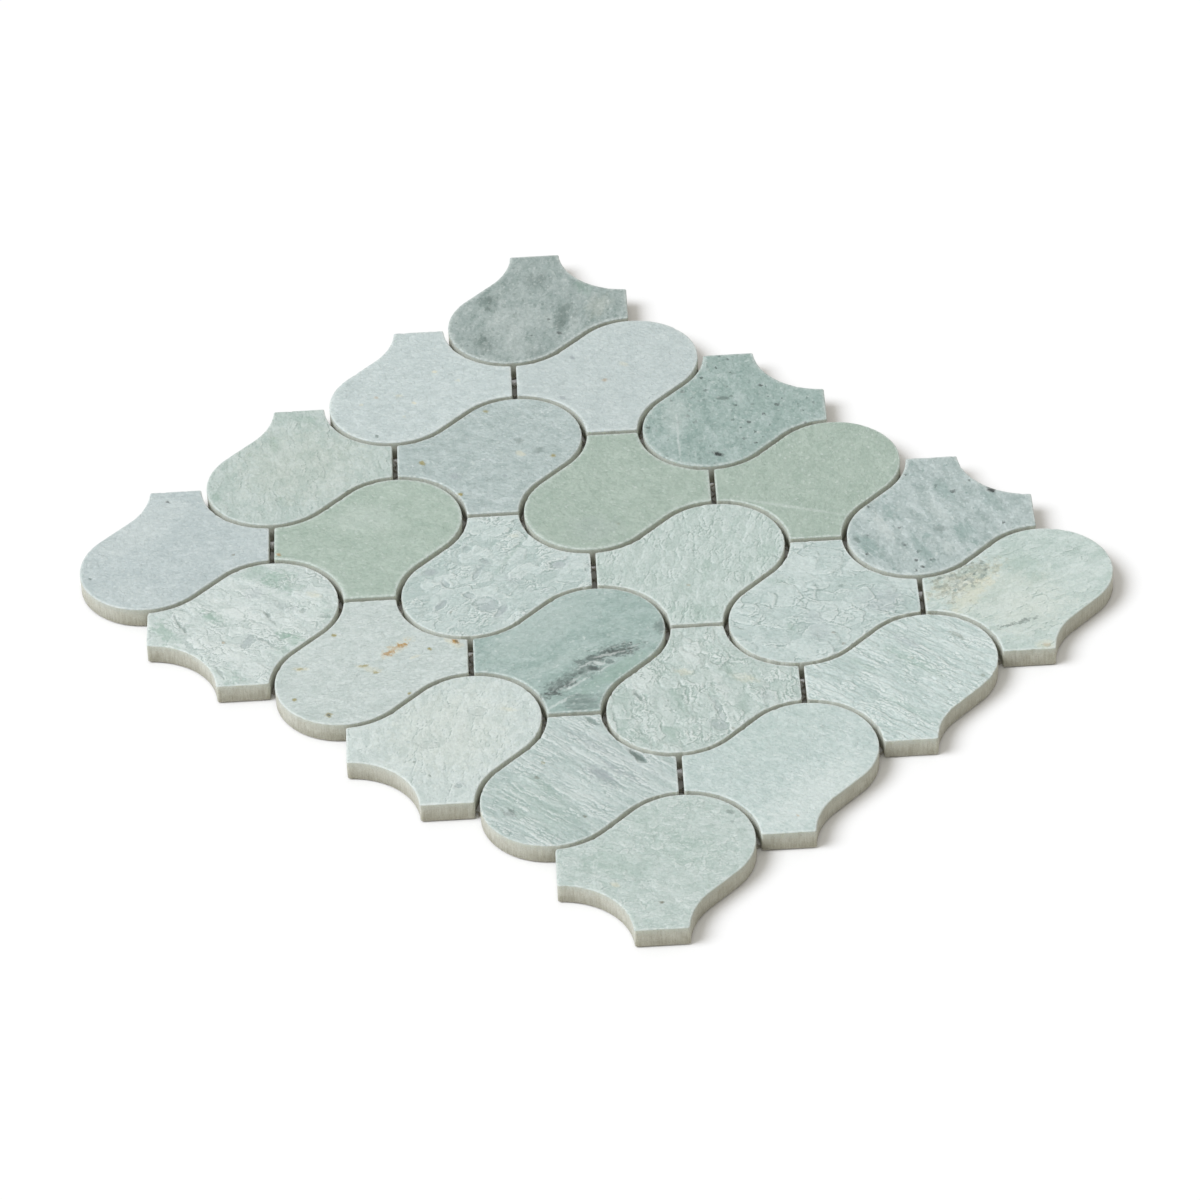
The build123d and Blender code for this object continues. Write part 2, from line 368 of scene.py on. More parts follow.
        Mark(Tint.SLATE, 10, -8, 3.4, 3, 70, 0.5, 0.9), Mark(Tint.RUST, -2, 20, 0.8, 0.6, 0, 0.4),
        Mark(Tint.MOSS, 20, -18, 4, 6, 0, 0.45, 0.9), Mark(Tint.CREAM, -8, -22, 3, 1.8, 20, 0.5),
        Mark(Tint.SLATE, -4, -10, 6, 2, 20, 0.35, 0.9), Mark(Tint.MOSS, -16, -17, 8, 6, 0, 0.28, 1.2))),
    "d3": StoneFinish(Tone.SNOW_WHITE, Relief.SUGARY, 0.13, 50, 1.3, 7, 0.5, marks=(
        *dabs(Tint.CREAM, (2, 19, 2.6, 7, 0, 0.55, 1.0), (15, 36, 5, 2, -10, 0.6, 0.9)),
        *dabs(Tint.RUST, (2, 19, 2.2, 4.6, 0, 0.22, 1.8), (2.3, 22, 1.6, 1.5, 40, 0.82, 2.2),
            (1.2, 18.5, 0.9, 3, 0, 0.35, 1.8), (2.5, 15, 1.9, 1.3, 60, 0.8, 2.2),
            (16, 36.6, 2.6, 1.1, -10, 1.0, 0.9)),
        Mark(Tint.OLIVE, 16.5, 36.6, 0.9, 0.7, 0, 0.8), Mark(Tint.OCHRE, 12, 27, 0.9, 0.8, 0, 0.85, 1.0),
        Mark(Tint.CREAM, 11, 20, 2.2, 0.8, 70, 0.5),
        *dabs(Tint.OCHRE, (-21.5, 9.5, 1, 0.9, 0, 0.85, 1.0), (0, 4, 1.7, 0.8, 40, 0.8, 1.2),
            (6, 4, 1.3, 0.9, 0, 0.85, 1.2)),
        Mark(Tint.CREAM, 3, 4, 5, 1.6, 20, 0.4, 1.0), Mark(Tint.OCHRE, 24.5, 3, 1, 0.8, 0, 0.85, 1.0),
        Mark(Tint.CREAM, -17, -13, 3, 1.2, 40, 0.6, 1.0),
        *dabs(Tint.OCHRE, (-17, -13, 1.2, 0.7, 40, 0.6, 1.2), (-6, -27, 1, 0.8, 0, 0.85, 0.8),
            (10, -25, 1.4, 1.2, 0, 0.7, 0.9)),
        Mark(Tint.INK, 10, -25, 0.7, 0.6, 0, 0.8))),
    "d4": StoneFinish(Tone.SNOW_WHITE, Relief.RIPPLED, 0.13, -50, 1.5, 6, 0.4, lift=1.06, marks=(
        *dabs(Tint.SLATE, (2, 13, 5, 2.6, 50, 0.2, 1.0, 0.05), (2, -12, 4.4, 2.6, 20, 0.16, 1.0, 0.04),
            (-22, 23, 2, 1.6, 60, 0.8, 0.4, 0.15)),
        *dabs(Tint.SMOKE, (-0.5, 24, 0.6, 0.5), (-10, 26, 0.8, 0.4)),
        Mark(Tint.CREAM, -6, -20, 3, 1.2, 30, 0.4), Mark(Tint.SLATE, -16, -21, 2, 1.2, 0, 0.4),
        Mark(Tint.CREAM, 2, 2, 24, 26, 30, 0.14, 0.9))),
    "d5": StoneFinish(Tone.FROST_GREEN, Relief.STREAKED, 0.29, 2, 4.0, 5, 0.6, lift=0.98, marks=(
        Mark(Tint.LILAC, 0, 27, 22, 9, 0, 0.35, 0.9),
        *dabs(Tint.MOSS, (0, -14, 22, 11, 0, 0.38, 0.8), (-8, -3, 10, 2.4, 0, 0.35, 0.9)),
        *dabs(Tint.SLATE, (10, 21, 12, 1.8, 0, 0.5, 0.9), (6, 14.5, 8, 2.8, -5, 0.75, 0.9),
            (-12, 25, 12, 1.8, 0, 0.4, 0.9)),
        *dabs(Tint.SMOKE, (8, 31.5, 5.2, 1.7, -4, 1.0, 0.15, 0.5),
            (-18, 35.5, 3.8, 1.2, 0, 0.75, 0.3, 0.3)),
        Mark(Tint.OCHRE, -16, 6, 0.9, 0.7, 0, 0.8),
        *dabs(Tint.OLIVE, (-12, -1.5, 1.1, 0.8, 0, 0.7), (16, -6, 0.8, 0.7, 0, 0.7)),
        Mark(Tint.GRAPHITE, -6, -22, 3, 1.8, 10, 0.6, 1.5), Mark(Tint.CHALK, 7, 1, 5, 3.5, 0, 0.4, 1.2))),
    "d6": StoneFinish(Tone.PALE_GREEN, Relief.WEBBED, 0.18, 30, 1.5, 5, 0.6, marks=(
        Mark(Tint.OLIVE, -16, 23, 0.9, 0.8, 0, 0.8), Mark(Tint.CREAM, 3, 26.5, 1.8, 1.2, 0, 0.6),
        *dabs(Tint.SMOKE, (-6, -26, 1, 0.7, 0, 0.5), (-2, -29.5, 1.6, 1, 20, 0.6)),
        *dabs(Tint.MOSS, (10, 18, 12, 7, 30, 0.3, 0.9), (-4, -4, 12, 8, 20, 0.3, 0.9)),
        Mark(Tint.SMOKE, 10, -2, 1, 0.7, 0, 0.3), Mark(Tint.CHALK, -17, 6, 8, 20, 0, 0.15, 0.9),
        Mark(Tint.MOSS, 15, -8, 9, 16, 0, 0.1, 0.9))),
}


class NodeBoard:
    """Places and links the nodes of one node tree."""

    def __init__(self, tree: bpy.types.NodeTree) -> None:
        """Take the tree to work on."""
        self.tree = tree

    def feed(self, node: bpy.types.Node, inputs: dict[Union[str, int], Feed]) -> None:
        """Give a node its inputs.

        Args:
            node: the node.
            inputs: values, or sockets to link, by input name or number.
        """
        for name, value in inputs.items():
            if isinstance(value, Socket):
                self.tree.links.new(value, node.inputs[name])
            else:
                node.inputs[name].default_value = value

    def put(self, kind: str, inputs: dict[Union[str, int], Feed], **settings: object) -> bpy.types.Node:
        """Place one node.

        Args:
            kind: Blender's name for the node type, without its ShaderNode prefix.
            inputs: values, or sockets to link, by input name or number.
            settings: the node's own properties.

        Returns:
            The new node.
        """
        node = self.tree.nodes.new("ShaderNode" + kind)
        for name, value in settings.items():
            setattr(node, name, value)
        self.feed(node, inputs)
        return node

    def sum(self, operation: str, first: Feed, second: Feed = 0.0) -> Socket:
        """Result of a Math node."""
        return self.put("Math", {0: first, 1: second}, operation=operation).outputs[0]

    def times(self, first: Feed, second: Feed) -> Socket:
        """Product of two numbers."""
        return self.sum("MULTIPLY", first, second)

    def vector(self, operation: str, first: Feed, second: Feed) -> Socket:
        """Result of a Vector Math node."""
        return self.put("VectorMath", {0: first, 1: second}, operation=operation).outputs["Vector"]

    def scaled(self, vector: Feed, size: Feed) -> Socket:
        """A vector times a number."""
        return self.put("VectorMath", {0: vector, "Scale": size}, operation="SCALE").outputs[0]

    def length(self, vector: Feed) -> Socket:
        """A vector's length."""
        return self.put("VectorMath", {0: vector}, operation="LENGTH").outputs["Value"]

    def turned(self, place: Feed, turn: Feed, back: bool = True) -> Socket:
        """A place turned about the upright, back by an angle or on by it."""
        inputs = {"Vector": place, "Angle": turn}
        return self.put("VectorRotate", inputs, rotation_type="Z_AXIS", invert=back).outputs[0]

    def step(self, value: Feed, start: Feed, end: Feed, low: Feed = 0.0, high: Feed = 1.0) -> Socket:
        """Smooth change from low at start to high at end."""
        inputs = {"Value": value, "From Min": start, "From Max": end, "To Min": low, "To Max": high}
        return self.put("MapRange", inputs, interpolation_type="SMOOTHSTEP").outputs[0]

    def blend(self, share: Feed, under: Feed, over: Feed, how: str = "MIX") -> Socket:
        """Colour over laid on colour under."""
        return self.put("Mix", {0: share, 6: under, 7: over}, data_type="RGBA", blend_type=how).outputs[2]

    def noise(self, place: Feed, scale: Feed, detail: float = 3.0, rough: float = 0.55,
              twist: float = 0.0, output: str = "Fac") -> Socket:
        """Noise at a place.

        Args:
            place: where.
            scale: how many lumps to a millimetre.
            detail: how many finer layers.
            rough: how strong the finer layers are.
            twist: how far the lumps are drawn about.
            output: Fac for one number, or Color for three.

        Returns:
            The noise.
        """
        inputs = {"Vector": place, "Scale": scale, "Detail": detail, "Roughness": rough,
                  "Distortion": twist}
        return self.put("TexNoise", inputs).outputs[output]

    def cells(self, place: Feed, scale: Feed, feature: str = "F1") -> Outputs:
        """What a Voronoi Texture node over a plane puts out."""
        inputs = {"Vector": place, "Scale": scale}
        return self.put("TexVoronoi", inputs, voronoi_dimensions="2D", feature=feature).outputs

    def attribute(self, name: str) -> Socket:
        """A number that the mesh holds at each point."""
        return self.put("Attribute", {}, attribute_name=name).outputs["Fac"]

    def bump(self, height: Feed, strength: float, distance: float) -> Socket:
        """The normal of a surface with a little height on it."""
        return self.put("Bump", {"Height": height, "Strength": strength, "Distance": distance}).outputs[0]

    def group(self, tree: bpy.types.NodeTree, inputs: dict[str, Feed]) -> Outputs:
        """What one of the shared effects puts out."""
        return self.put("Group", inputs, node_tree=tree).outputs

    def place_mm(self, centre: tuple[float, ...] = (0.0, 0.0, 0.0), turn: float = 0.0) -> Socket:
        """Place on the object in millimetres from a centre, in axes turned about the upright.

        Args:
            centre: the centre.
            turn: the turn, in radians.

        Returns:
            The place.
        """
        inputs = {"Vector": self.put("TexCoord", {}).outputs["Object"], "Location": centre,
                  "Rotation": (0.0, 0.0, turn), "Scale": (MM, MM, MM)}
        return self.put("Mapping", inputs, vector_type="TEXTURE").outputs[0]


def new_material(name: str) -> tuple[bpy.types.Material, NodeBoard, bpy.types.Node]:
    """Start a material.

    Args:
        name: the material's name.

    Returns:
        The material, the board of its nodes and its Principled shader.
    """
    material = bpy.data.materials.new(name)
    material.use_nodes = True
    return material, NodeBoard(material.node_tree), material.node_tree.nodes["Principled BSDF"]


def new_object(name: str, data: bpy.types.ID) -> bpy.types.Object:
    """Put a new object in the scene.

    Args:
        name: the object's name.
        data: its mesh, light or camera.

    Returns:
        The object.
    """
    made = bpy.data.objects.new(name, data)
    bpy.context.scene.collection.objects.link(made)
    return made


class Effects:
    """The shader node groups that the finishes share. Places in them are millimetres."""

    MARK_INPUTS = {"Place": "Vector", "Centre": "Vector", "Half Size": "Vector", "Turn": "Float",
                   "Ragged": "Float"}
    MIDDLE = (0.5, 0.5, 0.5)  # middle of what a noise or a cell's draw puts out

    def __init__(self) -> None:
        """Build every group once."""
        self.clouds = self._clouds()
        self.mark = self._mark()
        self.smoke = self._smoke()
        self.flecks = self._flecks()
        self.facets = self._facets()
        self.saw_lines = self._saw_lines()

    @staticmethod
    def _begin(name: str, inputs: dict[str, str],
               outputs: dict[str, str]) -> tuple[NodeBoard, dict[str, Socket], bpy.types.Node]:
        """Start a group.

        Args:
            name: the group's name.
            inputs: socket kinds by name, such as Float, Vector or Color.
            outputs: the same for what the group puts out.

        Returns:
            The board to build on, the group's inputs by name, and the node that its results go to.
        """
        tree = bpy.data.node_groups.new(name, "ShaderNodeTree")
        for way, sockets in (("INPUT", inputs), ("OUTPUT", outputs)):
            for socket_name, kind in sockets.items():
                tree.interface.new_socket(socket_name, in_out=way, socket_type="NodeSocket" + kind)
        entry = tree.nodes.new("NodeGroupInput")
        leave = tree.nodes.new("NodeGroupOutput")
        return NodeBoard(tree), {socket_name: entry.outputs[socket_name] for socket_name in inputs}, leave

    @staticmethod
    def _along_grain(board: NodeBoard, given: dict[str, Socket]) -> tuple[Socket, Socket]:
        """A group's place, turned and drawn in along the grain, and the stretch that draws it out again."""
        drawn = board.put("CombineXYZ", {0: given["Stretch"], 1: 1.0, 2: 1.0}).outputs[0]
        return board.vector("DIVIDE", board.turned(given["Place"], given["Turn"]), drawn), drawn

    @staticmethod
    def _about_mark(board: NodeBoard, given: dict[str, Socket]) -> tuple[Socket, Socket]:
        """Place about a mark's centre and along its length.

        Args:
            board: the group's nodes.
            given: the group's inputs.

        Returns:
            The place in millimetres, and in half sizes.
        """
        offset = board.vector("SUBTRACT", given["Place"], given["Centre"])
        turned = board.turned(board.vector("MULTIPLY", offset, (1.0, 1.0, 0.0)), given["Turn"])
        return turned, board.vector("DIVIDE", turned, given["Half Size"])

    @staticmethod
    def _fray(board: NodeBoard, place: Feed, scale: Feed, detail: float, rough: float) -> Socket:
        """Noise about nought, to push places this way and that."""
        push = board.noise(place, scale, detail, rough, output="Color")
        return board.vector("SUBTRACT", push, Effects.MIDDLE)

    def _clouds(self) -> bpy.types.NodeTree:
        """Marble's ground: pale clouds, dark smears drawn out along the grain, and a fine speckle.

        Returns:
            The group.
        """
        board, given, leave = self._begin("marble_clouds", {
            "Place": "Vector", "Turn": "Float", "Stretch": "Float", "Cloud Size": "Float",
            "Contrast": "Float", "Ground": "Color", "Light": "Color", "Dark": "Color"}, {"Colour": "Color"})
        place, _ = self._along_grain(board, given)
        pitch = board.sum("DIVIDE", 1.0, given["Cloud Size"])
        broad = board.noise(place, pitch, detail=4.0, rough=0.6, twist=0.6)
        close = board.noise(place, board.times(pitch, 4.2), detail=4.0, rough=0.6, twist=0.3)
        level = board.sum("ADD", board.times(broad, 0.62), board.times(close, 0.38))
        paler = board.times(board.step(level, 0.49, 0.64), given["Contrast"])
        darker = board.times(board.step(level, 0.51, 0.35), given["Contrast"])
        colour = board.blend(paler, given["Ground"], given["Light"])
        colour = board.blend(darker, colour, given["Dark"])
        shade = board.step(board.noise(given["Place"], 1.6, detail=2.0, rough=0.7), 0.3, 0.7, 0.95, 1.05)
        speckle = board.put("CombineColor", {0: shade, 1: shade, 2: shade}).outputs[0]
        board.feed(leave, {"Colour": board.blend(1.0, colour, speckle, "MULTIPLY")})
        return board.tree

    def _mark(self) -> bpy.types.NodeTree:
        """One ragged mark of a given place, size and turn.

        Returns:
            The group.
        """
        board, given, leave = self._begin("stone_mark", self.MARK_INPUTS, {"Mask": "Float"})
        _, share = self._about_mark(board, given)
        fray = self._fray(board, given["Place"], 0.42, detail=5.0, rough=0.68)
        fray = board.vector("MULTIPLY", board.scaled(fray, given["Ragged"]), (3.2, 3.2, 0.0))
        reach = board.length(board.vector("ADD", share, fray))
        board.feed(leave, {"Mask": board.step(reach, 1.4, 0.45)})
        return board.tree

    def _smoke(self) -> bpy.types.NodeTree:
        """One cloud of smoke that thins towards its edge, with streaks and clear gaps along its length.

        Returns:
            The group.
        """
        board, given, leave = self._begin("stone_smoke", self.MARK_INPUTS, {"Mask": "Float"})
        turned, share = self._about_mark(board, given)
        reach = board.length(share)
        drawn = board.vector("ADD", board.vector("MULTIPLY", turned, (0.16, 0.5, 1.0)), given["Centre"])
        streaks = board.noise(drawn, 1.0, detail=6.0, rough=0.62, twist=0.8)
        thinned = board.times(board.sum("SUBTRACT", streaks, 0.5), given["Ragged"])
        level = board.sum("ADD", board.step(reach, 1.25, 0.0), board.times(thinned, 3.0))
        board.feed(leave, {"Mask": board.times(board.step(level, 0.15, 0.95), board.step(reach, 1.3, 0.8))})
        return board.tree

    def _flecks(self) -> bpy.types.NodeTree:
        """Small ragged flecks, some of the cells of a random lattice.

        Returns:
            The group.
        """
        board, given, leave = self._begin("stone_flecks", {
            "Place": "Vector", "Spacing": "Float", "Share": "Float"}, {"Mask": "Float"})
        fray = self._fray(board, given["Place"], 0.9, detail=3.0, rough=0.6)
        place = board.vector("ADD", given["Place"], board.vector("MULTIPLY", fray, (2.4, 2.4, 0.0)))
        cells = board.cells(place, board.sum("DIVIDE", 1.0, given["Spacing"]))
        draw = board.put("SeparateColor", {0: cells["Color"]}).outputs
        kept = board.sum("LESS_THAN", draw[0], given["Share"])
        radius = board.step(draw[1], 0.0, 1.0, 0.07, 0.24)
        board.feed(leave, {"Mask": board.times(board.step(cells["Distance"], radius, 0.02), kept)})
        return board.tree

    def _facets(self) -> bpy.types.NodeTree:
        """Crystals of a face: each keeps one shade and leans its own way, with fine lines between them.

        Returns:
            The group.
        """
        board, given, leave = self._begin("crystal_facets", {
            "Place": "Vector", "Turn": "Float", "Stretch": "Float", "Size": "Float"}, {
            "Centre": "Vector", "Shade": "Float", "Height": "Float", "Lines": "Float", "Glint": "Float"})
        place, drawn = self._along_grain(board, given)
        pitch = board.sum("DIVIDE", 1.0, given["Size"])
        fray = self._fray(board, place, board.times(pitch, 0.9), detail=4.0, rough=0.6)
        fray = board.scaled(fray, given["Size"])
        frayed = board.vector("ADD", place, board.vector("MULTIPLY", fray, (1.7, 1.7, 0.0)))
        cells = board.cells(frayed, pitch)
        borders = board.cells(frayed, pitch, "DISTANCE_TO_EDGE")
        draw = board.put("SeparateColor", {0: cells["Color"]}).outputs
        lean = board.vector("SUBTRACT", cells["Color"], self.MIDDLE)
        inside = board.vector("SUBTRACT", frayed, cells["Position"])
        slope = board.put("VectorMath", {0: inside, 1: lean}, operation="DOT_PRODUCT").outputs["Value"]
        broken = board.step(board.noise(place, board.times(pitch, 0.5), detail=3.0), 0.42, 0.6)
        board.feed(leave, {
            "Centre": board.turned(board.vector("MULTIPLY", cells["Position"], drawn), given["Turn"],
                                   back=False),
            "Shade": draw[0],
            "Height": board.sum("ADD", board.times(draw[1], 0.35), board.times(slope, pitch)),
            "Lines": board.times(board.step(borders["Distance"], 0.07, 0.0), broken),
            # Glint picks out a few crystals for a painted highlight, the sparkle of their faces.
            "Glint": board.step(draw[2], 0.95, 0.98)})
        return board.tree

    def _saw_lines(self) -> bpy.types.NodeTree:
        """Upright lines and dusty patches that the cutting jet leaves on an edge.

        Returns:
            The group.
        """
        board, given, leave = self._begin(
            "saw_lines", {"Place": "Vector"}, {"Shade": "Float", "Height": "Float"})
        upright = board.vector("MULTIPLY", given["Place"], (1.0, 1.0, 0.1))
        lines = board.noise(upright, 1.5, detail=3.0, rough=0.7)
        patches = board.noise(given["Place"], 0.22, detail=4.0, rough=0.6)
        shade = board.sum("ADD", board.times(lines, 0.6), board.times(patches, 0.4))
        board.feed(leave, {"Shade": board.step(shade, 0.3, 0.7), "Height": lines})
        return board.tree


@dataclass
class MarbleFinisher:
    """Makes the materials of the stones: a face for each, edges for each marble and a back for all.

    Crystal_hold is how far a mark keeps to whole crystals, and even_shade how far about the middle a
    crystal's draw leaves the colour as it is.
    """

    effects: Effects
    edge_ground: Colour = swatch(219, 222, 213)
    edge_dark: Colour = swatch(185, 185, 172)
    edge_grit: Colour = swatch(168, 171, 162)
    # Painted glow near the face: its warm colour, its share against the marble's paler shade, and how
    # strongly it shows.
    glow_band_colour: Colour = swatch(197, 201, 191)
    glow_band_warm_share: float = 0.68
    glow_band_strength: float = 0.9
    edge_relief: float = 0.2 * MM
    back_ground: Colour = swatch(205, 208, 200)
    back_dark: Colour = swatch(182, 184, 174)
    back_relief: float = 0.1 * MM
    # How far the painted glow reaches down from the face, in millimetres.
    glow_band_depth_mm: float = 4.0
    facet_stretch: float = 1.4
    grain_stretch: float = 1.2
    grain_mm: float = 0.8
    grain_contrast: float = 0.32
    grain_relief_mm: float = 0.035
    even_shade: float = 0.05
    crystal_hold: float = 0.4
    # How smoky the crevices' painted shadow is, and how strongly the rim's painted highlight shows.
    crevice_shadow_darkness: float = 0.3
    rim_highlight_and_chips: float = 0.55
    face_shine: float = 0.4
    face_roughness: tuple[float, float] = (0.46, 0.7)
    edge_shine: float = 0.3
    edge_roughness: float = 0.72
    glow: float = 0.2
    edge_glow: float = 0.6
    glow_reach: float = 2.5 * MM
    seed_step_mm: tuple[float, float] = (97.0, 61.0)

    def face(self, name: str, finish: StoneFinish, centre: Vector, turn: float,
             seed: int) -> bpy.types.Material:
        """The face of one stone.

        Args:
            name: the stone's place in the sheet, such as a1.
            finish: its looks.
            centre: its centre in the sheet.
            turn: its turn about the upright, in radians.
            seed: a number that sets its clouds apart from its neighbours'.

        Returns:
            The material.
        """
        material, board, shader = new_material(f"marble_face_{name}")
        look, shades = FACE_LOOKS[finish.relief], finish.tone.value
        apart = (self.seed_step_mm[0] * seed, self.seed_step_mm[1] * seed, 0.0)
        own = board.vector("ADD", board.place_mm(centre, turn), apart)
        grain = {"Place": own, "Turn": math.radians(finish.grain_turn)}
        facets = board.group(
            self.effects.facets, grain | {"Stretch": self.facet_stretch, "Size": look.size})
        grains = board.group(
            self.effects.facets, grain | {"Stretch": self.grain_stretch, "Size": self.grain_mm})
        colour = board.group(self.effects.clouds, grain | {
            "Place": grains["Centre"], "Stretch": finish.stretch, "Cloud Size": finish.cloud,
            "Contrast": finish.contrast, "Ground": shades.ground, "Light": shades.light,
            "Dark": shades.dark})[0]
        for crystals, contrast in ((facets, look.contrast), (grains, self.grain_contrast)):
            colour = self._shaded(board, colour, crystals["Shade"], contrast, shades, self.even_shade)
        between = board.put("Mix", {0: self.crystal_hold, 4: own, 5: grains["Centre"]}, data_type="VECTOR")
        crystal_place = board.vector("SUBTRACT", between.outputs[1], apart)
        colour = self._marked(board, colour, finish, grains["Centre"], crystal_place)
        colour = self._shaded(board, colour, board.attribute("plate"), look.plate, shades)
        # Painted shade in the crevices: where the relief bends inwards, the face darkens towards a smoky
        # shadow.
        crevice_shade = board.attribute("crevice_shade")
        shadow = board.blend(self.crevice_shadow_darkness, shades.dark, Tint.SMOKE.value)
        colour = board.blend(board.times(crevice_shade, look.crevice_shade), colour, shadow)
        # Painted highlight along the rim, together with its chipped arris, broken up by noise.
        chips_and_highlight = board.step(board.noise(own, 0.7, detail=4.0, rough=0.65), 0.38, 0.62, 0.3, 1.0)
        rim = board.times(board.attribute("rim"), chips_and_highlight)
        # Painted highlights on the lips of the relief, on the rim and on glinting crystals, and the real
        # fine lines between crystals, all turn pale towards chalk.
        for mask, strength in ((board.attribute("lip"), look.lip), (rim, self.rim_highlight_and_chips),
                               (facets["Lines"], look.lines), (grains["Glint"], look.glint)):
            colour = board.blend(board.times(mask, strength), colour, Tint.CHALK.value)
        height = board.sum("ADD", board.times(facets["Height"], look.relief_mm),
                           board.times(grains["Height"], self.grain_relief_mm))
        lift = (finish.lift, finish.lift, finish.lift, 1.0)
        board.feed(shader, {
            "Base Color": board.blend(1.0, colour, lift, "MULTIPLY"), "Normal": board.bump(height, 1.0, MM),
            "Roughness": board.step(crevice_shade, 0.0, 1.0, *self.face_roughness),
            "Specular IOR Level": self.face_shine, **self._glow(self.glow)})
        return material

    @staticmethod
    def _shaded(board: NodeBoard, colour: Feed, draw: Feed, contrast: float, shades: Shades,
                even: float = 0.0) -> Socket:
        """Make some crystals or plates paler and some darker.

        Args:
            board: the material's nodes.
            colour: the colour so far.
            draw: the number from 0 to 1 that each of them holds.
            contrast: how strongly the palest and the darkest differ.
            shades: the marble's shades.
            even: how far about a half a draw leaves the colour as it is.

        Returns:
            The new colour.
        """
        colour = board.blend(board.step(draw, 0.5 + even, 1.0, 0.0, contrast), colour, shades.light)
        return board.blend(board.step(draw, 0.5 - even, 0.0, 0.0, contrast), colour, shades.dark)

    def _marked(self, board: NodeBoard, colour: Feed, finish: StoneFinish, fleck_place: Feed,
                mark_place: Feed) -> Socket:
        """Lay a stone's flecks and marks over its colour.

        Args:
            board: the material's nodes.
            colour: the colour so far.
            finish: the stone's looks.
            fleck_place: place that the flecks are scattered over.
            mark_place: place in the stone's plan.

        Returns:
            The new colour.
        """
        for flecks in finish.flecks:
            mask = board.group(self.effects.flecks, {
                "Place": fleck_place, "Spacing": flecks.spacing, "Share": flecks.share})[0]
            colour = board.blend(board.times(mask, flecks.strength), colour, flecks.tint.value)
        for mark in finish.marks:
            mask = board.group(self.effects.smoke if mark.wispy else self.effects.mark, {
                "Place": mark_place, "Centre": (mark.x, mark.y, 0.0), "Turn": math.radians(mark.turn),
                "Half Size": (mark.half_length, mark.half_width, 1.0), "Ragged": mark.ragged})[0]
            colour = board.blend(board.times(mask, mark.strength), colour, mark.tint.value)
        return colour

    def _glow(self, weight: float) -> dict[str, Feed]:
        """Shader inputs that let light spread a little way through the marble."""
        return {"Subsurface Weight": weight, "Subsurface Radius": (1.0, 1.0, 0.9),
                "Subsurface Scale": self.glow_reach}

    def edge(self, tone: Tone) -> bpy.types.Material:
        """The cut edge of one marble: dusty and lined upright, with a painted glow near the face, as if lit
        through the face.

        Args:
            tone: the marble.

        Returns:
            The material.
        """
        material, board, shader = new_material(f"marble_cut_edge_{tone.name.lower()}")
        place = board.place_mm((0.0, 0.0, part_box("marble_piece_a1")[1][2]))
        lines = board.group(self.effects.saw_lines, {"Place": place})
        colour = board.blend(lines["Shade"], self.edge_dark, self.edge_ground)
        depth = board.put("SeparateXYZ", {0: place}).outputs["Z"]
        glow_band_fray = board.noise(place, 1.1, detail=3.0, rough=0.6)
        reach = board.sum("ADD", depth, board.step(glow_band_fray, 0.35, 0.65, -0.9, 0.5))
        # Painted glow of light through the face: towards the top, the edge's colour turns to a warm mix
        # with the marble's paler shade, hiding the saw lines.
        painted_glow = board.times(board.step(reach, -self.glow_band_depth_mm, -0.2), self.glow_band_strength)
        glow = board.blend(self.glow_band_warm_share, tone.value.light, self.glow_band_colour)
        colour = board.blend(painted_glow, colour, glow)
        grit = board.noise(place, 1.9, detail=3.0, rough=0.7)
        colour = board.blend(board.step(grit, 0.5, 0.3, 0.0, 0.45), colour, self.edge_grit)
        board.feed(shader, {
            "Base Color": board.blend(board.step(grit, 0.52, 0.7, 0.0, 0.35), colour, Tint.CHALK.value),
            "Normal": board.bump(lines["Height"], 0.6, self.edge_relief), "Roughness": self.edge_roughness,
            "Specular IOR Level": self.edge_shine, **self._glow(self.edge_glow)})
        return material

    def back(self) -> bpy.types.Material:
        """The sawn backs of the stones, with a thin film of the resin that holds the net.

        Returns:
            The material.
        """
        material, board, shader = new_material("marble_sawn_back")
        place = board.place_mm()
        kerf = board.vector("MULTIPLY", place, (0.06, 1.0, 1.0))
        lines = board.noise(kerf, 0.9, detail=4.0, rough=0.65)
        dust = board.noise(place, 0.12, detail=5.0, rough=0.6)
        shade = board.sum("ADD", board.times(lines, 0.5), board.times(dust, 0.5))
        film = board.noise(place, 0.3, detail=3.0, rough=0.5)
        board.feed(shader, {
            "Base Color": board.blend(board.step(shade, 0.35, 0.65), self.back_dark, self.back_ground),
            "Roughness": board.step(film, 0.45, 0.6, 0.65, 0.3),
            "Normal": board.bump(lines, 0.4, self.back_relief)})
        return material


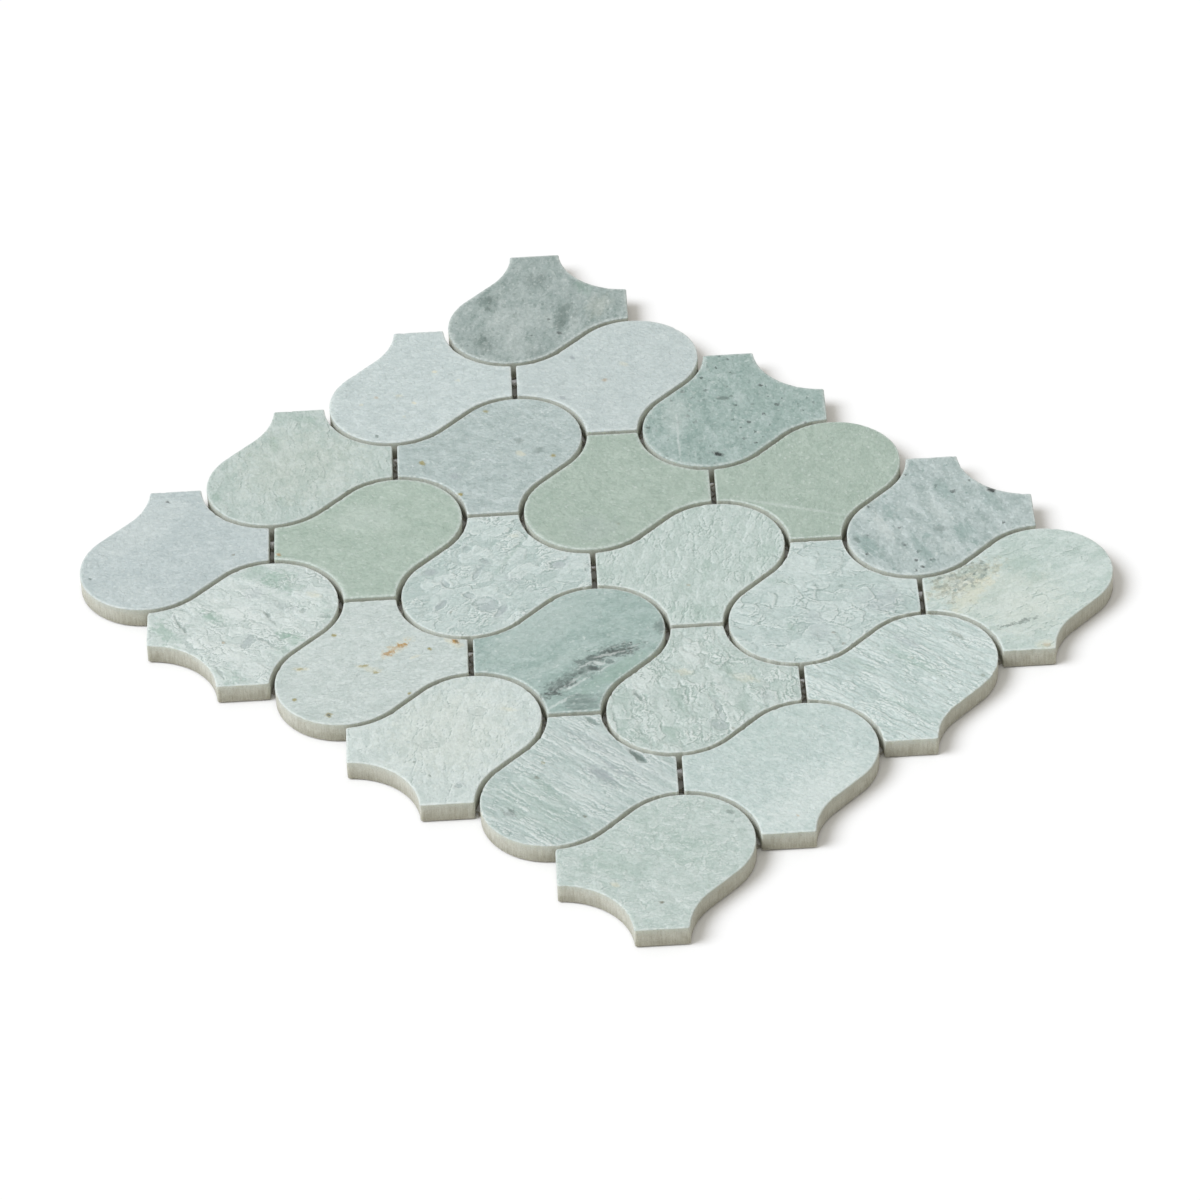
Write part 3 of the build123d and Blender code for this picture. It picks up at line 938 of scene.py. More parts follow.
class PlaneNoise:
    """Seeded smooth noise over a plane, for relief that is worked into a mesh."""

    LATTICE = 96  # squares each way before the noise repeats
    FINER = 2.03  # how much finer each layer is than the one before
    LAYERS_APART = (17.3, 5.7)  # how far one layer is set off from the next
    BLURRED = 4.0  # how much wider the softest flake's edge is than the sharpest's
    STACKED = 0.45  # how far a flake's draw raises it
    REACH = 0.75  # usual radius of a flake

    def __init__(self, seed: int) -> None:
        """Fill the lattice from the seed.

        Args:
            seed: the number that everything is drawn from.
        """
        maker = np.random.default_rng(seed)
        lattice = (self.LATTICE, self.LATTICE)
        self.values = maker.uniform(-1.0, 1.0, lattice)
        self.points = maker.uniform(0.1, 0.9, (*lattice, 2))
        self.draws = maker.random(lattice)
        self.headings = maker.uniform(-math.pi, math.pi, lattice)
        self.sizes = maker.uniform(0.55, 0.95, lattice)
        self.softness = maker.random(lattice)

    def smooth(self, x: np.ndarray, y: np.ndarray) -> np.ndarray:
        """Noise of one size.

        Args:
            x: places across the plane, in lattice steps.
            y: places up the plane, in lattice steps.

        Returns:
            The noise, from -1 to 1.
        """
        column = np.floor(x).astype(int)
        row = np.floor(y).astype(int)
        across = ease(x - column, 0.0, 1.0)
        along = ease(y - row, 0.0, 1.0)
        corner = [[self.values[(column + i) % self.LATTICE, (row + j) % self.LATTICE] for j in (0, 1)]
                  for i in (0, 1)]
        low = corner[0][0] * (1 - across) + corner[1][0] * across
        high = corner[0][1] * (1 - across) + corner[1][1] * across
        return low * (1 - along) + high * along

    def layered(self, x: np.ndarray, y: np.ndarray, layers: int = 4) -> np.ndarray:
        """Noise of several sizes, each half the size and weight of the one before.

        Args:
            x: places across the plane, in lattice steps.
            y: places up the plane, in lattice steps.
            layers: how many sizes.

        Returns:
            The noise, from about -1 to 1.
        """
        total = np.zeros_like(x)
        for layer in range(layers):
            scale = self.FINER ** layer
            off_x, off_y = (apart * layer for apart in self.LAYERS_APART)
            total += self.smooth(x * scale + off_x, y * scale + off_y) / 2 ** (layer + 1)
        return total

    def bent(self, x: np.ndarray, y: np.ndarray, size: float, amount: float) -> Pair:
        """Places pushed about by noise of a size, by up to about an amount."""
        return (x + amount * self.layered(x / size + 9, y / size + 40),
                y + amount * self.layered(x / size + 61, y / size + 3))

    def flakes(self, x: np.ndarray, y: np.ndarray, fan: float, lean: float,
               lip: float) -> Pair:
        """Overlapping round flakes, one to a lattice square, of which the highest shows.

        Args:
            x: places from the flakes' backs to their fronts, in lattice steps.
            y: places along their fronts, in lattice steps.
            fan: how far they turn apart, 1 being all ways.
            lean: how far each rises towards its front.
            lip: width of the sharpest flake's edge, in lattice steps.

        Returns:
            Heights from 0 to about 1.5, and the showing flake's draw from 0 to 1.
        """
        column = np.floor(x).astype(int)
        row = np.floor(y).astype(int)
        top = np.zeros_like(x)
        draw = np.full_like(x, 0.5)
        for i in (-1, 0, 1):
            for j in (-1, 0, 1):
                cell = ((column + i) % self.LATTICE, (row + j) % self.LATTICE)
                off_x = x - column - i - self.points[cell][:, 0]
                off_y = y - row - j - self.points[cell][:, 1]
                heading = self.headings[cell] * fan
                front = off_x * np.cos(heading) + off_y * np.sin(heading)
                flake = self.STACKED * self.draws[cell] + lean * (front + self.REACH) / (2 * self.REACH)
                radius = self.sizes[cell]
                edge = lip * (1 + self.BLURRED * self.softness[cell] ** 2)
                flake = flake * ease(np.hypot(off_x, off_y), radius, radius - edge)
                draw = np.where(flake > top, self.draws[cell], draw)
                top = np.maximum(top, flake)
        return top, draw


class ReliefMaker:
    """Works out one stone's relief: how far its face drops below the honed plane.

    Lengths are millimetres. Numbers added to places set one layer of noise apart from another.
    """

    APART = 150.0  # keeps every place on the noise's plane above nought
    PROBE = 0.45  # how far to each side the bend of the face is felt
    FAINT = 0.05  # bend at which a lip or crevice begins to show
    SHARP = 0.5  # bend at which it shows in full
    PLANE_PERCENT = 98  # how much of the face lies below the honed plane
    SCOOP_FRAY = (4.0, 1.6)  # size and amount of the raggedness round a scoop
    SCOOP_RIM = (1.1, 0.8)  # share of a mark's half sizes over which its scoop sinks

    def __init__(self, finish: StoneFinish, seed: int) -> None:
        """Take the stone's finish and its seed."""
        self.finish = finish
        self.noise = PlaneNoise(seed)

    def work(self, x: np.ndarray, y: np.ndarray) -> tuple[np.ndarray, dict[str, np.ndarray]]:
        """Relief at places in the stone's plan.

        Args:
            x: places across the stone.
            y: places along the stone.

        Returns:
            The drop, and from 0 to 1 each place's plate shade, the painted highlight on its lip and the
            painted shade in its crevice.
        """
        height, plate = self.height(x, y)
        around = sum(self.height(x + i * self.PROBE, y + j * self.PROBE)[0] for i, j in
                     ((1, 0), (-1, 0), (0, 1), (0, -1)))
        bend = (around - 4 * height) / self.PROBE ** 2
        drop = np.clip(np.percentile(height, self.PLANE_PERCENT) - height, 0.0, None)
        # Painted highlight on lips where the relief bends outwards and painted shade in crevices where it
        # bends inwards, both shown only in patches.
        painted_lines_shown = 0.3 + 0.7 * ease(self.noise.layered(x / 6 + 83, y / 6 + 47, 3), -0.15, 0.2)
        lip = ease(-bend, self.FAINT, self.SHARP) * painted_lines_shown
        crevice_shade = ease(bend, self.FAINT, self.SHARP) * painted_lines_shown
        return drop, {"plate": plate, "lip": lip, "crevice_shade": crevice_shade}

    def height(self, x: np.ndarray, y: np.ndarray) -> Pair:
        """Height of the broken or worn face, scooped out where a mark is sunk.

        Args:
            x: places across the stone.
            y: places along the stone.

        Returns:
            The heights, and the plates' shades from 0 to 1.
        """
        turn = math.radians(self.finish.grain_turn)
        along = x * math.cos(turn) + y * math.sin(turn) + self.APART
        across = y * math.cos(turn) - x * math.sin(turn) + self.APART
        height, plate = getattr(self, self.finish.relief.value)(along, across)
        height = height * self.finish.depth
        frayed_x, frayed_y = self.noise.bent(x + self.APART, y + self.APART, *self.SCOOP_FRAY)
        for mark in self.finish.marks:
            if mark.sunk:
                turn = math.radians(mark.turn)
                off_x, off_y = frayed_x - self.APART - mark.x, frayed_y - self.APART - mark.y
                reach = np.hypot((off_x * math.cos(turn) + off_y * math.sin(turn)) / mark.half_length,
                                 (off_y * math.cos(turn) - off_x * math.sin(turn)) / mark.half_width)
                inside = ease(reach, *self.SCOOP_RIM)
                floor = height * 0.3 - mark.sunk * (1.2 - 0.4 * np.clip(reach, 0.0, 1.0))
                height = height * (1 - inside) + floor * inside
        return height, plate

    def honed(self, u: np.ndarray, v: np.ndarray) -> Pair:
        """Nearly flat."""
        return self.noise.layered(u / 5, v / 5, 2), np.full_like(u, 0.5)

    def sugary(self, u: np.ndarray, v: np.ndarray) -> Pair:
        """Fine crumbs and faint dents, like sugar.

        Args:
            u: places along the grain.
            v: places across the grain.

        Returns:
            Heights for a depth of one, and the plates' shades from 0 to 1.
        """
        a, b = self.noise.bent(u, v, 3, 1.2)
        crumbs, _ = self.noise.flakes(b / 1.5, a / 3.2, fan=0.4, lean=0.9, lip=0.35)
        dents, plate = self.noise.flakes(a / 7 + 31, b / 4 + 17, fan=0.5, lean=0.6, lip=0.15)
        grain = self.noise.layered(u / 2.2, v / 1.4, 2)
        return 0.6 * crumbs + 0.4 * dents + 0.35 * grain, 0.25 + 0.5 * plate

    def rippled(self, u: np.ndarray, v: np.ndarray) -> Pair:
        """Scales that overlap across the grain, over broader waves.

        Args:
            u: places along the grain.
            v: places across the grain.

        Returns:
            Heights for a depth of one, and the plates' shades from 0 to 1.
        """
        a, b = self.noise.bent(u, v, 4, 1.5)
        scales, plate = self.noise.flakes(b / 2.5, a / 5.4, fan=0.25, lean=1.0, lip=0.16)
        broad, _ = self.noise.flakes(b / 5 + 31, a / 11 + 17, fan=0.25, lean=0.9, lip=0.08)
        show = 0.4 + 0.6 * ease(self.noise.smooth(u / 6 + 70, v / 6 + 20), -0.5, 0.3)
        return 0.6 * scales * show + 0.6 * broad + 0.3 * self.noise.layered(u / 3, v / 1.3, 3), plate

    def cleft(self, u: np.ndarray, v: np.ndarray) -> Pair:
        """Broad cleft plates with thin edges, and patches of smaller flakes.

        Args:
            u: places along the grain.
            v: places across the grain.

        Returns:
            Heights for a depth of one, and the plates' shades from 0 to 1.
        """
        a, b = self.noise.bent(u, v, 7, 3.6)
        plates, plate = self.noise.flakes(a / 12, b / 9, fan=0.35, lean=0.5, lip=0.04)
        a, b = self.noise.bent(u, v, 4, 1.8)
        chips, shade = self.noise.flakes(a / 6 + 31, b / 4.4 + 17, fan=0.4, lean=0.8, lip=0.09)
        show = ease(self.noise.smooth(u / 7 + 70, v / 7 + 20), 0.0, 0.45)
        grain = self.noise.layered(u / 1.9, v / 1.5, 2)
        plate = plate + (shade - plate) * 0.6 * show
        return 1.2 * plates + 0.85 * chips * show + (0.25 + 0.25 * show) * grain, plate

    def craggy(self, u: np.ndarray, v: np.ndarray) -> Pair:
        """Broken plates and crumbs along the grain.

        Args:
            u: places along the grain.
            v: places across the grain.

        Returns:
            Heights for a depth of one, and the plates' shades from 0 to 1.
        """
        a, b = self.noise.bent(u, v, 4, 2.4)
        plates, plate = self.noise.flakes(a / 8, b / 4.8, fan=0.4, lean=0.75, lip=0.1)
        crumbs, _ = self.noise.flakes(b / 2 + 31, a / 3.4 + 17, fan=0.4, lean=1.0, lip=0.2)
        show = ease(self.noise.smooth(u / 7 + 70, v / 5 + 20), -0.4, 0.3)
        return 0.95 * plates + 0.85 * crumbs * show + 0.5 * self.noise.layered(a / 8, b / 3, 4), plate

    def webbed(self, u: np.ndarray, v: np.ndarray) -> Pair:
        """Small flakes that turn all ways.

        Args:
            u: places along the grain.
            v: places across the grain.

        Returns:
            Heights for a depth of one, and the plates' shades from 0 to 1.
        """
        a, b = self.noise.bent(u, v, 4, 2.2)
        chips, plate = self.noise.flakes(a / 4, b / 3, fan=1.0, lean=0.7, lip=0.2)
        crumbs, _ = self.noise.flakes(a / 2 + 31, b / 1.6 + 17, fan=1.0, lean=0.7, lip=0.3)
        return 0.9 * chips + 0.4 * crumbs + 0.5 * self.noise.layered(u / 4, v / 3, 3), plate

    def streaked(self, u: np.ndarray, v: np.ndarray) -> Pair:
        """Low ridges drawn out along the grain, crumbled here and there.

        Args:
            u: places along the grain.
            v: places across the grain.

        Returns:
            Heights for a depth of one, and the plates' shades from 0 to 1.
        """
        a, b = self.noise.bent(u, v, 6, 1.1)
        ridges, plate = self.noise.flakes(-b / 2.2, a / 12, fan=0.12, lean=1.0, lip=0.2)
        crumbs, _ = self.noise.flakes(-b / 1.4 + 41, a / 2.8 + 17, fan=0.4, lean=0.9, lip=0.25)
        show = ease(self.noise.smooth(u / 7 + 70, v / 3 + 20), -0.4, 0.3)
        return 0.7 * ridges + 0.6 * crumbs * show + 0.5 * self.noise.layered(u / 5, b / 1.6, 3), plate


@dataclass
class StoneTemplate:
    """Mesh of one stone, lobe towards -Y, before its own relief: outline, eased rim, faces and back.

    The outline is the solids' own, with their small corner flats worn round.
    """

    lobe_radius: float = 25.4 * MM
    side_length: float = 15.0 * MM
    joint_width: float = 2.0 * MM
    corner_flat: float = 0.45 * MM
    rim_ease: float = 0.45 * MM
    back_ease: float = 0.2 * MM
    outline_step: float = 0.6 * MM
    face_step: float = 0.48 * MM
    face_margin: float = 0.6
    rim_steps: int = 3
    side_steps: int = 3
    corner_points: int = 6
    bottom: float = 0.0
    top: float = 0.0

    def __post_init__(self) -> None:
        """Read the stones' level from the frame and lay out the mesh."""
        low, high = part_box("marble_piece_a1")
        self.bottom, self.top = low[2], high[2]
        self.outline = self._outline()
        self._lay_out()

    def _arc(self, centre: tuple[float, float], radius: float, start: float, end: float) -> np.ndarray:
        """Points along an arc.

        Args:
            centre: its centre.
            radius: its radius.
            start: its first angle, in degrees.
            end: its last angle, in degrees.

        Returns:
            The points, both ends among them.
        """
        count = max(2, round(math.radians(abs(end - start)) * radius / self.outline_step))
        angles = np.radians(np.linspace(start, end, count + 1))
        return np.stack([centre[0] + radius * np.cos(angles), centre[1] + radius * np.sin(angles)], 1)

    def _line(self, start: np.ndarray, end: np.ndarray) -> np.ndarray:
        """Points along a straight line.

        Args:
            start: its start.
            end: its end.

        Returns:
            The points, both ends among them.
        """
        count = max(2, round(float(np.linalg.norm(np.subtract(end, start))) / self.outline_step))
        share = np.linspace(0.0, 1.0, count + 1)[:, None]
        return np.asarray(start) * (1 - share) + np.asarray(end) * share

    def _worn_corner(self, before: np.ndarray, corner: np.ndarray, after: np.ndarray) -> np.ndarray:
        """Points of a corner worn round between two points on its sides."""
        share = np.linspace(0.0, 1.0, self.corner_points)[:, None]
        return (1 - share) ** 2 * before + 2 * share * (1 - share) * corner + share ** 2 * after

    def _outline(self) -> np.ndarray:
        """Closed outline, counter-clockwise from the end of the lobe.

        Returns:
            The outline's points.
        """
        column = 2 * self.lobe_radius + self.joint_width
        hollow = self.lobe_radius + self.joint_width
        half_side = self.side_length / 2
        trim = math.degrees(math.asin(self.joint_width / 2 / hollow))
        wear = 2 * self.corner_flat
        worn = math.degrees(wear / hollow)
        beside, above = (column, half_side), (0.0, column + half_side)
        lobe = self._arc((0.0, -half_side), self.lobe_radius, -90, 0)
        side = self._line((self.lobe_radius, -half_side), (self.lobe_radius, half_side))
        flare = self._arc(beside, hollow, 180, 135 + trim + worn)
        notch = self._arc(above, hollow, -45 - trim - worn, -90)
        outer = self._arc(beside, hollow, 135 + trim + worn, 135 + trim)[-1]
        inner = self._arc(above, hollow, -45 - trim, -45 - trim - worn)[0]
        lean = (inner - outer) / np.linalg.norm(inner - outer) * wear
        flat = self._line(outer + lean, inner - lean)
        runs = [lobe, side, flare, self._worn_corner(flare[-1], outer, flat[0]), flat,
                self._worn_corner(flat[-1], inner, notch[0]), notch]
        right = np.concatenate([run[:-1] for run in runs] + [notch[-1:]])
        left = right[1:-1][::-1] * (-1.0, 1.0)
        return np.concatenate([right, left])

    def _inside(self, points: np.ndarray, margin: float) -> np.ndarray:
        """Choose the points well inside the outline.

        Args:
            points: the points to choose from.
            margin: how far from the outline they must lie.

        Returns:
            The points that do.
        """
        start, end = self.outline, np.roll(self.outline, -1, 0)
        x, y = points[:, :1], points[:, 1:]
        spans = (start[:, 1] > y) != (end[:, 1] > y)
        rise = np.where(end[:, 1] == start[:, 1], 1.0, end[:, 1] - start[:, 1])
        crossing = start[:, 0] + (y - start[:, 1]) / rise * (end[:, 0] - start[:, 0])
        within = np.sum(spans & (x < crossing), 1) % 2 == 1
        reach = np.min(np.hypot(x - start[:, 0], y - start[:, 1]), 1)
        return points[within & (reach > margin)]

    def _levels(self) -> list[tuple[float, float, float]]:
        """Rings from the back up to the face.

        Returns:
            For each ring how far in and how high it lies, and how far the relief moves it.
        """
        levels = [(self.back_ease, self.bottom, 0.0)]
        side_bottom, side_top = self.bottom + self.back_ease, self.top - self.rim_ease
        for share in np.linspace(0.0, 1.0, self.side_steps):
            levels.append((0.0, side_bottom + share * (side_top - side_bottom), 0.0))
        for step in range(1, self.rim_steps + 1):
            angle = math.pi / 2 * step / self.rim_steps
            inset = self.rim_ease * (1 - math.cos(angle))
            levels.append((inset, side_top + self.rim_ease * math.sin(angle), math.sin(angle)))
        return levels

    def _edge_faces(self, count: int) -> np.ndarray:
        """Triangles between the rings.

        Args:
            count: how many points a ring has.

        Returns:
            Triangles as rows of three point numbers.
        """
        here = np.arange(count)
        ahead = np.roll(here, -1)
        faces = []
        for ring in range(self.ring_count - 1):
            low, high = ring * count, (ring + 1) * count
            faces.append(np.stack([low + here, low + ahead, high + ahead], 1))
            faces.append(np.stack([low + here, high + ahead, high + here], 1))
        return np.concatenate(faces)

    def _lay_out(self) -> None:
        """Work out the template's points, triangles and weights."""
        ahead = np.roll(self.outline, -1, 0) - np.roll(self.outline, 1, 0)
        ahead /= np.linalg.norm(ahead, axis=1)[:, None]
        self.inward = np.stack([-ahead[:, 1], ahead[:, 0]], 1)
        steps = np.linalg.norm(np.roll(self.outline, -1, 0) - self.outline, axis=1)
        self.distance = np.concatenate([[0.0], np.cumsum(steps)[:-1]])
        self.length = float(np.sum(steps))

        levels = self._levels()
        count = len(self.outline)
        self.ring_count = len(levels)
        plan = [self.outline + self.inward * inset for inset, _, _ in levels]
        height = [np.full(count, level) for _, level, _ in levels]
        weight = [np.full(count, share) for _, _, share in levels]
        edge_faces = self._edge_faces(count)

        face_points, face_faces = self._face(plan[-1])
        plan.append(face_points)
        height.append(np.full(len(face_points), self.top))
        weight.append(np.ones(len(face_points)))
        face_faces = face_faces + (self.ring_count - 1) * count
        back_faces = self._fill(plan[0])[:, ::-1]

        self.plan = np.concatenate(plan)
        self.height = np.concatenate(height)
        self.weight = np.concatenate(weight)
        # Weight 1 on the rings, where the face paints its rim highlight and chips.
        self.rim = np.where(np.arange(len(self.plan)) < self.ring_count * count, 1.0, 0.0)
        self.triangles = np.concatenate([face_faces, edge_faces, back_faces])
        rim_faces = 2 * self.rim_steps * count
        side_faces = len(edge_faces) - rim_faces
        runs = ((0, len(face_faces)), (1, side_faces), (0, rim_faces), (2, len(back_faces)))
        self.dress = np.concatenate([np.full(number, index) for index, number in runs])

    @staticmethod
    def _fill(ring: np.ndarray, inner: Union[np.ndarray, None] = None) -> np.ndarray:
        """Triangles that fill a ring, through inner points where there are any.

        Args:
            ring: the ring's points, counter-clockwise.
            inner: points inside it.

        Returns:
            Triangles as rows of three point numbers, the ring's points first.
        """
        points = ring if inner is None else np.concatenate([ring, inner])
        spots = [Vector(point) / MM for point in points.tolist()]
        made = delaunay_2d_cdt(spots, [], [list(range(len(ring)))], 1, 1e-6)
        source = [first[0] for first in made[3]]
        return np.array([[source[corner] for corner in face] for face in made[2]])

    def _face(self, rim: np.ndarray) -> Pair:
        """Fill the face with points in offset rows.

        Args:
            rim: the innermost ring's points.

        Returns:
            The points, and triangles that join them and the rim.
        """
        reach = 2 * self.lobe_radius
        rows = np.arange(-reach, reach, self.face_step * math.sqrt(3) / 2)
        columns = np.arange(-reach, reach, self.face_step)
        grid = [np.stack([columns + self.face_step / 2 * (index % 2), np.full_like(columns, y)], 1)
                for index, y in enumerate(rows)]
        inner = self._inside(np.concatenate(grid), self.rim_ease + self.face_margin * self.face_step)
        return inner, self._fill(rim, inner)


@dataclass
class MosaicStones:
    """The stones of the sheet, head to tail in rows, each with its own face and worn rim.

    The edge's waver is read along one row of noise, waver_row. Its seed and the nicks' are added to the
    stone's own.
    """

    rough_template: StoneTemplate
    smooth_template: StoneTemplate
    finisher: MarbleFinisher
    columns: int = 6
    rows: int = 4
    nick_spacing: float = 17.0 * MM
    nick_depth: float = 0.3 * MM
    nick_half_mm: tuple[float, float] = (0.6, 1.7)
    nick_strength: tuple[float, float] = (0.3, 1.0)
    nick_fall: float = 0.8
    edge_waver: float = 0.03 * MM
    waver_mm: float = 1.9
    waver_row: float = 3.3
    sharp_angle_deg: float = 50.0
    first_seed: int = 11
    waver_seed: int = 500
    nick_seed: int = 900

    def build(self) -> None:
        """Build and dress every stone in place of its solid."""
        edges = {tone: self.finisher.edge(tone) for tone in Tone}
        back = self.finisher.back()
        for row in range(self.rows):
            for column in range(self.columns):
                name = f"{chr(ord('a') + row)}{column + 1}"
                node = f"marble_piece_{name}"
                seed = self.first_seed + row * self.columns + column
                turn = math.pi * (column % 2)
                centre = self._centre(row, column)
                face = self.finisher.face(name, STONES[name], centre, turn, seed)
                stone = self._stone(f"mosaic_stone_{name}", STONES[name], centre, turn, seed)
                for material in (face, edges[STONES[name].tone], back):
                    stone.data.materials.append(material)
                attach(stone, BODY)
                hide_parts(node)
                log.info("%s: %d triangles", stone.name, len(stone.data.polygons))

    def _centre(self, row: int, column: int) -> Vector:
        """Centre of a stone's plan in the sheet.

        Args:
            row: its row, from the back.
            column: its column, from the left.

        Returns:
            The centre.
        """
        shape = self.rough_template
        column_pitch = 2 * shape.lobe_radius + shape.joint_width
        row_pitch = column_pitch + shape.side_length
        x = (column - (self.columns - 1) / 2) * column_pitch
        y = ((self.rows - 1) / 2 - row) * row_pitch
        return Vector((x, y, 0.0))

    def _stone(self, name: str, finish: StoneFinish, centre: Vector, turn: float,
               seed: int) -> bpy.types.Object:
        """One stone's mesh with its relief, wavering edge and nicks.

        Args:
            name: the new object's name.
            finish: the stone's looks.
            centre: its centre in the sheet.
            turn: its turn about the upright, in radians.
            seed: the number its relief and nicks are drawn from.

        Returns:
            The object, placed in the sheet.
        """
        shape = self.smooth_template if finish.relief is Relief.HONED else self.rough_template
        plan = shape.plan.copy()
        drop, looks = ReliefMaker(finish, seed).work(plan[:, 0] / MM, plan[:, 1] / MM)
        # The rim's weights, for the face's painted highlight and chips along the rim.
        looks["rim"] = shape.rim
        height = shape.height - drop * MM * shape.weight
        self._wear_edge(shape, plan, height, seed)
        cosine, sine = round(math.cos(turn)), round(math.sin(turn))
        x = plan[:, 0] * cosine - plan[:, 1] * sine + centre.x
        y = plan[:, 0] * sine + plan[:, 1] * cosine + centre.y
        mesh = bpy.data.meshes.new(name)
        mesh.from_pydata(np.stack([x, y, height], 1).tolist(), [], shape.triangles.tolist())
        mesh.polygons.foreach_set("material_index", shape.dress.astype(np.int32))
        for label, values in looks.items():
            held = mesh.attributes.new(label, "FLOAT", "POINT").data
            held.foreach_set("value", values.astype(np.float32))
        mesh.shade_smooth()
        mesh.set_sharp_from_angle(angle=math.radians(self.sharp_angle_deg))
        return new_object(name, mesh)

    def _wear_edge(self, shape: StoneTemplate, plan: np.ndarray, height: np.ndarray, seed: int) -> None:
        """Let the cut edge waver and nick its rim, by moving points inwards and down.

        Args:
            shape: the template that the points come from.
            plan: the stone's points in plan, changed in place.
            height: their heights, changed in place.
            seed: the number the nicks are drawn from.
        """
        count = len(shape.outline)
        noise = PlaneNoise(seed + self.waver_seed)
        along = shape.distance / MM
        waver = 0.5 + 0.5 * noise.layered(along / self.waver_mm, np.full_like(along, self.waver_row), 2)
        maker = np.random.default_rng(seed + self.nick_seed)
        nicks = np.zeros(count)
        for _ in range(round(shape.length / self.nick_spacing)):
            middle = maker.uniform(0.0, shape.length)
            half_width = maker.uniform(*self.nick_half_mm) * MM
            away = np.abs((shape.distance - middle + shape.length / 2) % shape.length - shape.length / 2)
            nick = maker.uniform(*self.nick_strength) * ease(away, half_width, 0.0)
            nicks = np.maximum(nicks, nick)
        first_rim = shape.ring_count - shape.rim_steps - 1
        for ring in range(shape.ring_count):
            rows = slice(ring * count, (ring + 1) * count)
            shift = waver * self.edge_waver
            if ring >= first_rim:
                share = 1 - (ring - first_rim) / (shape.rim_steps + 1)
                shift = shift + nicks * self.nick_depth * share
                height[rows] -= nicks * self.nick_depth * (1.1 - share) * self.nick_fall
            plan[rows] += shape.inward * shift[:, None]


